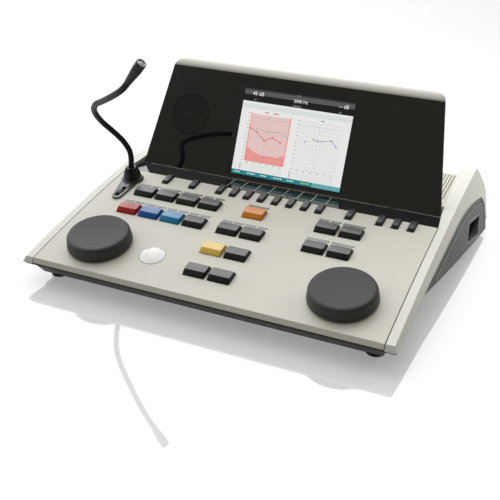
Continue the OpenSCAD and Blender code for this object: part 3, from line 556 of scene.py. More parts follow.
def gloss_moulded(name, hex_colour, rough=0.16, coat=0.4, shine=0.5):
    """Plastic or lacquer with a smooth surface: an even gloss, like a push button,
    and weaker where the real one is satin."""
    material, tree, shader = new_material(
        name,
        hex_colour,
        Roughness=rough,
        IOR=1.53,
        Specular_IOR_Level=shine,
        Coat_Weight=coat,
        Coat_Roughness=0.08,
    )
    grain(tree, shader, 0.004, 0.00002)
    return material


def smoked_lens(name, hex_colour):
    """Smoked polycarbonate light bar: dull grey when unlit, with a wet gloss and
    fine ribs across it that spread the light."""
    material, tree, shader = new_material(
        name, hex_colour, Roughness=0.25, IOR=1.58, Coat_Weight=0.3
    )
    place = add_node(tree, "ShaderNodeTexCoord")
    ribs = add_node(
        tree,
        "ShaderNodeTexWave",
        [("Vector", place, "Object")],
        Scale=wave_scale(0.001),
    )
    bump = add_node(
        tree,
        "ShaderNodeBump",
        [("Height", ribs, "Fac")],
        Strength=0.3,
        Distance=0.00005,
    )
    tree.links.new(bump.outputs["Normal"], shader.inputs["Normal"])
    return material


def turned_steel(name, hex_colour):
    """Bright drawn steel of pins and screws, with fine lengthwise drawing marks."""
    material, tree, shader = new_material(
        name, hex_colour, Metallic=1.0, Roughness=0.32
    )
    grain(tree, shader, 0.0003, 0.00001)
    return material


def brushed_zinc(name, hex_colour):
    """Satin-chromed zinc: a cool grey metal, brushed lengthwise."""
    material, tree, shader = new_material(
        name, hex_colour, Metallic=0.85, Roughness=0.34
    )
    place = add_node(tree, "ShaderNodeTexCoord")
    stretch = add_node(tree, "ShaderNodeMapping", [("Vector", place, "Object")])
    stretch.inputs["Scale"].default_value = (1.0, 0.08, 1.0)
    lines = add_node(
        tree,
        "ShaderNodeTexNoise",
        [("Vector", stretch, "Vector")],
        Scale=1 / 0.0004,
        Detail=3.0,
    )
    bump = add_node(
        tree,
        "ShaderNodeBump",
        [("Height", lines, "Fac")],
        Strength=0.35,
        Distance=0.00003,
    )
    tree.links.new(bump.outputs["Normal"], shader.inputs["Normal"])
    return material


def solder_mask(name, hex_colour):
    """Green solder mask over glass-epoxy board: glossy lacquer over faint tracks."""
    material, tree, shader = new_material(
        name, hex_colour, Roughness=0.3, IOR=1.5, Coat_Weight=0.3
    )
    grain(tree, shader, 0.002, 0.00003, 0.12, hex_colour)
    return material


def moulded_rubber(name, hex_colour):
    """Moulded rubber foot: dead matte black with a coarse grain."""
    material, tree, shader = new_material(
        name, hex_colour, Roughness=0.85, Specular_IOR_Level=0.3
    )
    grain(tree, shader, 0.0008, 0.00006)
    return material


def wire_mesh(name, hex_colour):
    """Woven steel wire over the capsule: bright crossing wires 0.6 mm apart over
    dark gaps. Drawn a little coarser than the real weave, so that it shows."""
    material, tree, shader = new_material(name, hex_colour, Metallic=1.0, Roughness=0.3)
    place = add_node(tree, "ShaderNodeTexCoord")
    pitch = 0.0006
    weave = None
    for direction in ("X", "Y"):
        wires = add_node(
            tree,
            "ShaderNodeTexWave",
            [("Vector", place, "Object")],
            bands_direction=direction,
            wave_profile="SIN",
            Scale=wave_scale(pitch),
        )
        if weave is None:
            weave = wires
        else:
            weave = add_node(
                tree,
                "ShaderNodeMath",
                [(0, weave, "Fac"), (1, wires, "Fac")],
                operation="MAXIMUM",
            )
    ramp = add_node(tree, "ShaderNodeValToRGB", [("Fac", weave, 0)])
    ramp.color_ramp.elements[0].position = 0.35
    ramp.color_ramp.elements[0].color = linear("#1C1C1C")
    ramp.color_ramp.elements[1].position = 0.75
    ramp.color_ramp.elements[1].color = linear(hex_colour)
    tree.links.new(ramp.outputs["Color"], shader.inputs["Base Color"])
    bump = add_node(
        tree, "ShaderNodeBump", [("Height", weave, 0)], Strength=0.8, Distance=0.0001
    )
    tree.links.new(bump.outputs["Normal"], shader.inputs["Normal"])
    return material


def lit_pixels(name, hex_colour, strength=1.0):
    """A lit area of a liquid-crystal screen behind its clear front: it glows
    evenly, and the front adds a faint reflection."""
    material, tree, shader = new_material(
        name, "#050505", Roughness=0.12, Coat_Weight=0.2, Specular_IOR_Level=0.3
    )
    shader.inputs["Emission Color"].default_value = linear(hex_colour)
    shader.inputs["Emission Strength"].default_value = strength
    return material


def printed_ink(name, hex_colour):
    """Pad-printed ink: a thin matte film."""
    material, tree, shader = new_material(name, hex_colour, Roughness=0.6)
    grain(tree, shader, 0.0005, 0.00001)
    return material


# ---- Mesh builders ----


def new_object(name, data):
    """An object that holds data, linked to the scene."""
    thing = bpy.data.objects.new(name, data)
    bpy.context.scene.collection.objects.link(thing)
    return thing


def new_piece(name, vertices, faces, material, body, smooth_angle=None):
    """A mesh piece in metres that rides on a CAD body."""
    mesh = bpy.data.meshes.new(name)
    mesh.from_pydata([tuple(v) for v in vertices], [], faces)
    mesh.validate()
    mesh.update()
    mesh.materials.append(material)
    piece = new_object(name, mesh)
    outward(mesh)
    if smooth_angle is not None:
        mesh.shade_smooth()
        mesh.set_sharp_from_angle(angle=math.radians(smooth_angle))
    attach(piece, body)
    return piece


def outward(mesh):
    """Turns all faces of a mesh outward."""
    work = bmesh.new()
    work.from_mesh(mesh)
    bmesh.ops.recalc_face_normals(work, faces=work.faces)
    work.to_mesh(mesh)
    work.free()


def loft(rings, first=True, last=True):
    """Vertices and faces of a skin through rings of equal length. Its first and last
    rings are closed or left open."""
    count = len(rings[0])
    vertices = [v for ring in rings for v in ring]
    faces = []
    for i in range(len(rings) - 1):
        for j in range(count):
            k = (j + 1) % count
            a = i * count
            b = a + count
            faces.append((a + j, a + k, b + k, b + j))
    if first:
        faces.append(tuple(reversed(range(count))))
    if last:
        start = (len(rings) - 1) * count
        faces.append(tuple(range(start, start + count)))
    return vertices, faces


def rounded_rectangle(length, width, corner, shift, height, steps=5):
    """A ring in local x, y and height, with round corners, moved back by shift."""
    corner = min(corner, length / 2 - 1e-5, width / 2 - 1e-5)
    ring = []
    for quarter in range(4):
        sx = 1 if quarter in (0, 3) else -1
        sy = 1 if quarter in (0, 1) else -1
        for step in range(steps + 1):
            angle = math.radians(90 * (quarter + step / steps))
            ring.append(
                Vector(
                    (
                        sx * (length / 2 - corner) + corner * math.cos(angle),
                        sy * (width / 2 - corner) + corner * math.sin(angle) + shift,
                        height,
                    )
                )
            )
    return ring


def polar(radius, angle, height):
    """Point at a radius and angle about the local height axis."""
    return Vector((radius * math.cos(angle), radius * math.sin(angle), height))


def lathe(profile, steps):
    """Rings turned about the local height axis, from (radius, height) points."""
    return [
        [polar(radius, math.tau * i / steps, height) for i in range(steps)]
        for radius, height in profile
    ]


def arc_points(centre, radius, start, end, steps):
    """Points of an arc in a profile, with angles in degrees."""
    points = []
    for i in range(steps + 1):
        angle = math.radians(start + (end - start) * i / steps)
        points.append(
            (centre[0] + radius * math.cos(angle), centre[1] + radius * math.sin(angle))
        )
    return points


def placed(matrix, vertices):
    """Points moved from local axes to their place on the object."""
    return [matrix @ Vector(v) for v in vertices]


def finish_node(node, material, second=None, test=None):
    """Gives a CAD node its real finish, and the second one to the faces for which
    test(centre, normal) is true."""
    mesh = frame["nodes"][node].data
    mesh.materials.clear()
    mesh.materials.append(material)
    kinds = [0] * len(mesh.polygons)
    if test:
        mesh.materials.append(second)
        kinds = [int(bool(test(p.center, p.normal))) for p in mesh.polygons]
    mesh.polygons.foreach_set("material_index", kinds)


# ---- Places on the object ----


def crown(y):
    """Height of the crowned top at y."""
    case = bpy.context.scene.audiometer_case
    radius = case.crown_radius
    return (
        case.crest_z
        - radius
        + math.sqrt(radius * radius - (y - case.crest_y) * (y - case.crest_y))
    )


def local_frame(x, y, lift=0.0):
    """Local axes on the crowned top at x, y: right, up the slope, and out of it."""
    case = bpy.context.scene.audiometer_case
    lean = math.asin((case.crest_y - y) / case.crown_radius)
    out = Vector((0, -math.sin(lean), math.cos(lean)))
    along = Vector((0, math.cos(lean), math.sin(lean)))
    matrix = Matrix((Vector((1, 0, 0)), along, out)).transposed().to_4x4()
    matrix.translation = Vector((x, y, crown(y))) + out * lift
    return matrix


# A cap's box reaches this far below the plate on average, which leans its centre
CAP_DEPTH = 3.9 * MM


def key_frame(node, joint):
    """Local axes of a key, from its box and the axis of its travel."""
    low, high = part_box(node)
    out = Vector(JOINTS[joint]["axis"])
    return local_frame((low.x + high.x) / 2, (low.y + high.y) / 2 + CAP_DEPTH * out.y)


def head_frame():
    """Local axes of the display head: right, up the face, and out of it."""
    head = bpy.context.scene.audiometer_head
    low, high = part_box("display_front")
    up = Vector((0, math.cos(head.tilt), math.sin(head.tilt)))
    out = Vector((0, -math.sin(head.tilt), math.cos(head.tilt)))
    matrix = Matrix((Vector((1, 0, 0)), up, out)).transposed().to_4x4()
    matrix.translation = Vector(
        (0, low.y, low.z + head.front_thickness * math.cos(head.tilt))
    )
    return matrix


def wall_point(side, y, z, lift=0.0):
    """Point on the face of a side panel (side 1 is right, -1 left), raised by lift."""
    panel = bpy.context.scene.audiometer_panel
    slope = math.tan(panel.draft)
    inset = (panel.step - lift) / math.cos(panel.draft)
    return Vector((side * (panel.half_width + (crown(y) - z) * slope - inset), y, z))


# ---- Operators ----


# Corners of the grip recess and of the painted highlight line round it, as y and z in
# millimetres
GRIP = [(67.8, 24.2), (100.6, 18.8), (78.1, 11.3), (46.4, 17.2)]
GRIP_HIGHLIGHT = [(68.4, 26.3), (103.6, 19.4), (78.7, 9.2), (43.6, 16.6)]
GRIP_CORNER = 2.2
# The two arches over a side panel: radius, y and z of the crest, in millimetres
LONG_ARCH = (1930, 120, 37.4)
SHORT_ARCH = (300, 52.8, 35.9)
ARCH_FRONT, ARCH_REAR = -46, 121


class AUDIO_OT_case(bpy.types.Operator):
    """Finish the plate, cheeks, side panels, deck and the rest of the case"""

    bl_idname = "audiometer.case"
    bl_label = "Case"

    def execute(self, context):
        looks = context.scene.audiometer_finishes
        pitch = context.scene.audiometer_panel.rib_pitch
        cover = moulded_abs("satin_abs_off_white", looks.cover)
        cheek = moulded_abs("satin_abs_pale", looks.cheek, 0.42)
        panel = ribbed_abs("ribbed_abs_dark_grey", looks.panel, pitch)
        black = moulded_abs("satin_abs_black", "#19191A", 0.5)
        gloss = polished_acrylic("polished_black_ledge", "#111213", 0.5)
        board = solder_mask("green_solder_mask", "#2F5A41")
        steel = turned_steel("drawn_steel", "#B4B7BA")
        dark = moulded_abs("painted_recess_shade", "#101011", 0.6)
        finish_node("top_plate", cover)
        finish_node("rear_deck", cover)
        finish_node("left_cheek", cheek)
        finish_node("right_cheek", cheek)
        # painted shade: the faces lining the grip recess get a near-black finish
        finish_node("side_grips", panel, dark, self.in_recess)
        finish_node("connector_panel", moulded_abs("satin_abs_rear", looks.panel, 0.5))
        finish_node("bottom_case", black)
        finish_node("key_ledge", gloss)
        finish_node("sockets", moulded_abs("black_nylon_sockets", "#1C1D1E", 0.4))
        finish_node("control_board", board)
        finish_node("main_board", board)
        finish_node("fixings", steel)
        finish_node("feet", moulded_rubber("moulded_rubber", "#171717"))
        finish_node("light_bars", smoked_lens("smoked_lens", "#7A8082"))
        return {"FINISHED"}

    @staticmethod
    def in_recess(centre, normal):
        """Whether a face of the side panels lines the grip recess."""
        y, z = centre.y / MM, centre.z / MM
        inside = all(
            (b[0] - a[0]) * (z - a[1]) - (b[1] - a[1]) * (y - a[0]) < 0.02
            for a, b in zip(GRIP, GRIP[1:] + GRIP[:1])
        )
        wall = wall_point(1, centre.y, centre.z)
        return inside and abs(centre.x) < wall.x - 0.3 * MM


class AUDIO_OT_edge_highlights(bpy.types.Operator):
    """Lay fine raised beads along the arch and round the grip recess, pale as painted highlights
    of those edges
    """

    bl_idname = "audiometer.trim"
    bl_label = "Painted edge highlights"

    def execute(self, context):
        # painted highlight: raised beads whose pale colour stands for the light caught by the
        # panel's upper edge, the groove under it and the rim of the grip recess
        material = moulded_abs("painted_edge_highlight", "#9B9F9B", 0.3)
        for side, name in ((1, "right"), (-1, "left")):
            for index, inset in enumerate((0.9, 4.9)):
                self.ribbon(
                    f"{name}_arch_highlight_{index + 1}", side, self.arch(inset), material
                )
            highlight_path = self.rounded(GRIP_HIGHLIGHT, GRIP_CORNER)
            self.ribbon(f"{name}_grip_highlight", side, highlight_path, material, closed=True)
        return {"FINISHED"}

    @staticmethod
    def arch(inset):
        """Points along the arch, lowered by inset: the long arch, the short one
        that takes over from it, and the corner at its rear."""

        def height(radius, crest_y, crest_z):
            return crest_z - radius + math.sqrt(radius**2 - (y - crest_y) ** 2)

        points = []
        steps = 40
        for i in range(steps + 1):
            y = ARCH_FRONT + (ARCH_REAR - ARCH_FRONT) * i / steps
            z = height(*LONG_ARCH)
            if y > SHORT_ARCH[1]:
                z = min(z, height(*SHORT_ARCH))
            points.append((y, z - inset))
        points += arc_points((120, 22.2), 6 - inset, 66, -56, 16)
        tail = points[-1]
        slope = math.radians(-56 - 90)
        points.append((tail[0] + 11 * math.cos(slope), tail[1] + 11 * math.sin(slope)))
        return points

    @staticmethod
    def rounded(corners, radius):
        """A closed outline whose corners are rounded."""
        points = []
        for i, corner in enumerate(corners):
            here = Vector(corner)
            before = (Vector(corners[i - 1]) - here).normalized()
            after = (Vector(corners[(i + 1) % len(corners)]) - here).normalized()
            start, end = here + before * radius, here + after * radius
            for k in range(7):
                t = k / 6
                p = start * (1 - t) ** 2 + here * 2 * t * (1 - t) + end * t * t
                points.append((p.x, p.y))
        return points

    @staticmethod
    def ribbon(name, side, path, material, closed=False):
        """A fine rounded bead along a path of (y, z) points on a side panel."""
        half = bpy.context.scene.audiometer_panel.line / 2 / MM
        rings = []
        for i, (y, z) in enumerate(path):
            if closed:
                a, b = path[i - 1], path[(i + 1) % len(path)]
            else:
                a, b = path[max(i - 1, 0)], path[min(i + 1, len(path) - 1)]
            across = Vector((a[1] - b[1], b[0] - a[0])).normalized()
            ring = []
            for shift, lift in (
                (-1, -0.06), (-0.75, 0.10), (0, 0.16), (0.75, 0.10), (1, -0.06)
            ):
                ring.append(
                    wall_point(
                        side,
                        (y + across.x * half * shift) * MM,
                        (z + across.y * half * shift) * MM,
                        lift * MM,
                    )
                )
            rings.append(ring)
        if closed:
            rings.append(rings[0])
        vertices, faces = loft(rings, not closed, not closed)
        piece = new_piece(name, vertices, faces, material, "console", 60)


# Colour of each coloured key, with the record's material slot; the rest are dark
KEY_COLOURS = {
    "key_a5": ("orange_pbt", "#D08020", "key_orange"),
    "key_b1": ("red_pbt", "#A01E17", "key_red"),
    "key_b2": ("blue_pbt", "#045096", "key_blue"),
    "key_b3": ("light_blue_pbt", "#1C76A4", "key_light_blue"),
    "key_c1": ("yellow_pbt", "#DCBC58", "key_yellow"),
}


# How much narrower a cap's top is than its foot, from side to side and from front
# to rear, and how far the top lies to the rear
KEY_LEAN = 0.8 * MM
KEY_SLOPE = 6.3 * MM
SOFT_KEY_SLOPE = 4.0 * MM
TOP_SHIFT = 0.6 * MM


def cap_rings(length, width, height, slope, corner):
    """Rings of a key cap: flange, skirt, flanks that lean in, and a crisp top."""
    flange = 2.4 * MM
    top_of_flange = -3.3 * MM
    bottom = -4.5 * MM
    flank = 0.9 * MM

    def ring(wider, deeper, shift, up):
        return rounded_rectangle(length + wider, width + deeper, corner, shift, up)

    rings = [
        ring(flange, flange, 0, bottom),
        ring(flange, flange, 0, top_of_flange),
        ring(0, 0, 0, top_of_flange),
        ring(0, 0, 0, flank - 0.25 * MM),
    ]
    # the flank leans in with a rounded foot and a rounded upper edge
    foot = 0.06
    for share in (foot / 2, foot, 0.9, 0.96):
        ease = share if share > foot else share * 0.6
        up = flank + (height - flank) * share
        rings.append(ring(-KEY_LEAN * ease, -slope * ease, TOP_SHIFT * ease, up))
    for inset, drop in ((0.0, 0.03), (0.25 * MM, 0.0)):
        up = height - drop * MM
        rings.append(ring(-KEY_LEAN - inset, -slope - inset, TOP_SHIFT, up))
    return rings


class AUDIO_OT_keys(bpy.types.Operator):
    """Build the caps of the large keys and the function keys"""

    bl_idname = "audiometer.keys"
    bl_label = "Keys"

    def execute(self, context):
        sizes = context.scene.audiometer_keys
        dark = key_plastic("dark_grey_pbt", context.scene.audiometer_finishes.key)
        large = [n for n in frame["nodes"] if n.startswith("key_") and n[-1].isdigit()]
        soft = [n for n in frame["nodes"] if n[:9] in ("soft_key_", "side_key_")]
        for node in sorted(large):
            material, slot = dark, "key_dark"
            if node in KEY_COLOURS:
                name, colour, slot = KEY_COLOURS[node]
                material = key_plastic(name, colour)
            rings = cap_rings(
                sizes.length, sizes.width, sizes.height, KEY_SLOPE, sizes.corner
            )
            self.build(node, rings, material, slot)
        for node in sorted(soft):
            rings = cap_rings(
                sizes.soft_length,
                sizes.soft_width,
                sizes.soft_height,
                SOFT_KEY_SLOPE,
                sizes.corner * 0.8,
            )
            self.build(node, rings, dark, "key_dark")
        return {"FINISHED"}

    @staticmethod
    def build(node, rings, material, slot):
        """Make a cap, put it on its key's body and let it replace the plain one."""
        joint = f"{node}_press"
        vertices, faces = loft(rings)
        piece = new_piece(
            f"{node}_moulded",
            placed(key_frame(node, joint), vertices),
            faces,
            material,
            JOINTS[joint]["child"],
            30,
        )
        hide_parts(node)


class AUDIO_OT_dials(bpy.types.Operator):
    """Turn the two dials and finish the tone switch"""

    bl_idname = "audiometer.dials"
    bl_label = "Dials and switches"

    def execute(self, context):
        sizes = context.scene.audiometer_dials
        material = soft_touch(
            "soft_touch_lacquer", context.scene.audiometer_finishes.dial
        )
        # the dial floats over the plate on its shaft and hub, in a shallow recess
        shaft, hub, recess = 3 * MM, 6 * MM, 1.8 * MM
        under = 1.2 * MM
        lower = 1.3 * MM
        upper = 3.6 * MM
        profile = [(shaft, -10.5 * MM), (shaft, recess), (hub, recess), (hub, under)]
        profile += arc_points((sizes.radius - lower, under + lower), lower, -90, 0, 8)
        profile += arc_points(
            (sizes.top_radius - upper, sizes.height - upper), upper, 8, 90, 18
        )
        # the top is dished a quarter of a millimetre inside its rim
        profile += [
            (sizes.top_radius - 5 * MM, sizes.height),
            (sizes.top_radius - 6.2 * MM, sizes.height - 0.08 * MM),
            (sizes.top_radius - 7.4 * MM, sizes.height - 0.25 * MM),
            (1 * MM, sizes.height - 0.25 * MM),
        ]
        for side in ("left", "right"):
            joint = JOINTS[f"{side}_dial_turn"]
            place = local_frame(joint["pos_m"][0], joint["pos_m"][1])
            vertices, faces = loft(lathe(profile, sizes.steps))
            piece = new_piece(
                f"{side}_dial_turned",
                placed(place, vertices),
                faces,
                material,
                joint["child"],
                40,
            )
            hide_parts(f"{side}_dial")
        finish_node("tone_switch", gloss_moulded("gloss_white_abs", "#D9D9D7"))
        return {"FINISHED"}


# Middle of the speaker holes on the face, and the edges of the groove round them
SPEAKER_AT = Vector((-0.1105, 0.0549))
SPEAKER_HOLES = 0.019
SPEAKER_GROOVE = 0.0205


class AUDIO_OT_head(bpy.types.Operator):
    """Finish the display head: black front, its mask beside the screen, and shell"""

    bl_idname = "audiometer.head"
    bl_label = "Display head"

    def execute(self, context):
        looks = context.scene.audiometer_finishes
        gloss = polished_acrylic("polished_black_front", looks.gloss, 1.0)
        shell = moulded_abs("satin_abs_shell", "#DBD9D2", 0.36, 0.004)
        # painted shade: near-black without reflection, for the insides of the speaker holes and
        # their groove, and for the shell along the front's lower edge
        hole = moulded_abs("painted_hollow_shade", "#030303", 1.0, shine=0.0)
        place = head_frame().inverted()

        def in_speaker(centre, normal):
            """Whether a face lines a speaker hole or the groove round them."""
            local = place @ centre
            aside = (Vector((local.x, local.y)) - SPEAKER_AT).length
            if aside >= SPEAKER_GROOVE:
                return False
            sunk = aside > SPEAKER_HOLES and local.z < -0.1 * MM
            return sunk or (place.to_3x3() @ normal).z < 0.5

        def under_face(centre, normal):
            """Whether a face of the shell borders the front's lower edge."""
            local = place @ centre
            return local.y < 2 * MM and local.z > -7 * MM

        finish_node("display_front", gloss, hole, in_speaker)
        finish_node("display_shell", shell, hole, under_face)
        finish_node("lcd_module", moulded_abs("black_module", "#202122"))
        finish_node(
            "speaker_driver", moulded_abs("black_paper_cone", "#040404", 0.9, shine=0.1)
        )
        self.mask(context.scene.audiometer_head)
        return {"FINISHED"}

    @staticmethod
    def mask(head):
        """The black printed border that the screen sits in, wider on its left."""
        low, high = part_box("display_window")
        place = head_frame()
        centre = place.inverted() @ ((low + high) / 2)
        half_w, half_h = head.screen_width / 2, head.screen_height / 2
        inner = [
            (centre.x - half_w, centre.y - half_h),
            (centre.x + half_w, centre.y - half_h),
            (centre.x + half_w, centre.y + half_h),
            (centre.x - half_w, centre.y + half_h),
        ]
        left, other = 5.2 * MM, 1.1 * MM
        outer = [
            (inner[0][0] - left, inner[0][1] - other),
            (inner[1][0] + other, inner[1][1] - other),
            (inner[2][0] + other, inner[2][1] + other * 1.6),
            (inner[3][0] - left, inner[3][1] + other * 1.6),
        ]
        film = 0.04 * MM
        rings = [
            [place @ Vector((x, y, -1.2 * MM)) for x, y in inner],
            [place @ Vector((x, y, film)) for x, y in inner],
            [place @ Vector((x, y, film)) for x, y in outer],
            [place @ Vector((x, y, -film)) for x, y in outer],
        ]
        vertices, faces = loft(rings, False, False)
        piece = new_piece(
            "screen_mask",
            vertices,
            faces,
            printed_ink("black_screen_mask", "#050506"),
            "display_head",
        )


class ScreenPage:
    """Flat lit areas on the screen, placed in millimetres from its upper left."""

    def __init__(self, place, width, height):
        self.place = place
        self.width = width
        self.height = height
        self.areas = {}

    def area(self, tone, layer, corners):
        """A filled outline, given as (x, y) points."""
        self.areas.setdefault(tone, []).append((layer, corners))

    def box(self, tone, layer, x0, y0, x1, y1):
        """A filled rectangle."""
        self.area(tone, layer, [(x0, y0), (x1, y0), (x1, y1), (x0, y1)])

    def line(self, tone, layer, points, thickness):
        """A line of square ends through the points."""
        for a, b in zip(points, points[1:]):
            run = Vector((b[0] - a[0], b[1] - a[1]))
            side = Vector((-run.y, run.x)).normalized() * thickness / 2
            self.area(
                tone,
                layer,
                [
                    (a[0] + side.x, a[1] + side.y),
                    (b[0] + side.x, b[1] + side.y),
                    (b[0] - side.x, b[1] - side.y),
                    (a[0] - side.x, a[1] - side.y),
                ],
            )

    def build(self, tones):
        """One piece for each tone."""
        for tone, areas in self.areas.items():
            vertices = []
            faces = []
            for layer, corners in areas:
                start = len(vertices)
                for x, y in corners:
                    local = Vector(
                        (
                            x * MM - self.width / 2,
                            self.height / 2 - y * MM,
                            layer * 0.012 * MM,
                        )
                    )
                    vertices.append(self.place @ local)
                faces.append(tuple(range(start, len(vertices))))
            mesh = bpy.data.meshes.new(f"screen_{tone}")
            mesh.from_pydata([tuple(v) for v in vertices], [], faces)
            mesh.update()
            mesh.materials.append(lit_pixels(f"lit_{tone}", tones[tone]))
            piece = new_object(f"screen_{tone}", mesh)
            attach(piece, "display_head")


SCREEN_TONES = {
    "paper": "#E6E7E5",
    "cool": "#D7DDDD",
    "band_top": "#3B3B3B",
    "band_mid": "#575757",
    "band": "#1A1A1A",
    "digits": "#E8E8E8",
    "pink": "#E3C2C0",
    "red": "#E8918D",
    "red_line": "#D9403E",
    "grid": "#B9BCBD",
    "grid_dark": "#85888A",
    "green": "#3E9A62",
    "blue": "#4A55B8",
    "table": "#CDCFCF",
    "teal": "#5FA7AC",
    "teal_dark": "#1F7F88",
    "lime": "#B9D42E",
}


def lay_out_page(page, w, h):
    """The status band, the two charts and the bar of soft labels, in millimetres.
    Areas with a higher layer lie nearer to the eye."""
    band = 0.15 * h
    bar = h - 4.6
    edge = 0.35
    page.box("paper", 1, edge, band, w - edge, bar)
    page.box("cool", 2, edge, band + 2.2, w - edge, band + 6.6)
    page.box("band_top", 1, edge, edge, w - edge, 0.14 * band)
    page.box("band_mid", 1, edge, 0.14 * band, w - edge, 0.48 * band)
    page.box("band", 1, edge, 0.48 * band, w - edge, band)
    page.box("grid_dark", 2, 0.1 * w, 0.80 * band, 0.1 * w + 2.4, 0.87 * band)
    page.box("grid_dark", 2, 0.46 * w, 0.86 * band, 0.46 * w + 8, 0.93 * band)
    page.box("grid_dark", 2, 0.46 * w + 3, 0.08 * band, 0.46 * w + 6, 0.14 * band)
    page.box("grid_dark", 2, 0.87 * w, 0.84 * band, 0.87 * w + 2.4, 0.91 * band)
    page.box("teal", 1, edge, bar, w - edge, h - edge)
    cells = 8
    step = (w - 2 * edge) / cells
    for i in range(cells):
        if i < 6:
            x = edge + i * step
            page.box("teal_dark", 2, x, bar, x + step, h - edge)
            tone = "lime" if i == 5 else "digits"
            for k in range(4 if i % 2 else 3):
                mark = x + 2.6 + 2.4 * k
                page.box(tone, 3, mark, bar + 1.5, mark + 1.7, bar + 2.5)
        seam = edge + (i + 1) * step
        page.box("teal", 4, seam - 0.15, bar, seam + 0.15, h - edge)
    for left, filled in ((0.105 * w, True), (0.565 * w, False)):
        draw_chart(page, left, 0.285 * h, 0.36 * w, 0.545 * h, filled)


def draw_chart(page, left, top, width, height, filled):
    """A generic hearing chart: a grid with its ticks, a small table and a curve."""
    right, bottom = left + width, top + height

    def at(u, v):
        return left + u * width, top + v * height

    if filled:
        page.box("pink", 2, left, top, right, bottom)
        slope = [(0, 0.70), (0.2, 0.79), (0.4, 0.85), (0.6, 0.83), (0.8, 0.84)]
        slope += [(0.92, 0.79), (1, 0.79)]
        outline = [at(*p) for p in slope] + [at(1, 1), at(0, 1)]
        page.area("red", 3, outline)
        page.box("red", 6, left - 0.5, top - 1.2, left + 0.6, bottom)
        page.box("red", 6, right - 0.6, top - 1.2, right + 0.5, bottom)
    columns, rows = 11, 13
    for i in range(columns + 1):
        tone = "grid_dark" if i == 5 else "grid"
        x = left + width * i / columns
        page.box(tone, 4, x - 0.09, top, x + 0.09, bottom)
    for j in range(rows + 1):
        tone = "grid_dark" if j in (1, rows) else "grid"
        y = top + height * j / rows
        page.box(tone, 5, left, y - 0.09, right, y + 0.09)
        page.box("grid_dark", 4, left - 3.4, y - 0.35, left - 2.0, y + 0.35)
    for i in range(6):
        x = left + width * (0.08 + 0.17 * i)
        page.box("grid_dark", 4, x - 0.9, bottom + 1.1, x + 0.9, bottom + 1.8)
    for k in range(5):
        y = bottom + 3.2 + 1.3 * k
        page.box("table", 4, left - 1, y, right, y + 0.3)
        page.box("grid_dark", 4, left - 4.2, y - 0.2, left - 2.4, y + 0.4)
    if filled:
        trace = [(0.0, 0.30), (0.2, 0.37), (0.42, 0.53), (0.62, 0.44), (0.84, 0.52)]
        page.line("red_line", 8, [at(*p) for p in trace], 0.55)
        for p in trace:
            draw_mark(page, "red_line", at(*p), 0.95)
        dashes = [(0.16, 0.31), (0.34, 0.32), (0.52, 0.34), (0.76, 0.31), (0.98, 0.38)]
        for a, b in zip(dashes, dashes[1:]):
            run = (b[0] - a[0], b[1] - a[1])
            for k in range(3):
                start = at(a[0] + run[0] * k / 3, a[1] + run[1] * k / 3)
                end = at(a[0] + run[0] * (k + 0.6) / 3, a[1] + run[1] * (k + 0.6) / 3)
                page.line("green", 7, [start, end], 0.5)
        x0, x1 = left + 0.32 * width, left + 0.68 * width
        page.box("red_line", 4, x0, top - 3.0, x0 + 4.2, top - 2.1)
        page.box("red_line", 4, x1 - 6, top - 3.0, x1, top - 2.1)
    else:
        trace = [(0.36, 0.34), (0.46, 0.36), (0.56, 0.35), (0.80, 0.31), (0.93, 0.42)]
        page.line("blue", 8, [at(*p) for p in trace], 0.4)
        for p in trace + [(0.16, 0.41)]:
            draw_mark(page, "blue", at(*p), 0.8)
        x0 = left + 0.5 * width
        page.box("grid_dark", 4, x0 - 1.8, top - 3.0, x0 + 1.8, top - 2.0)


def draw_mark(page, tone, at, size):
    """A small diamond."""
    x, y = at
    page.area(tone, 9, [(x - size, y), (x, y - size), (x + size, y), (x, y + size)])


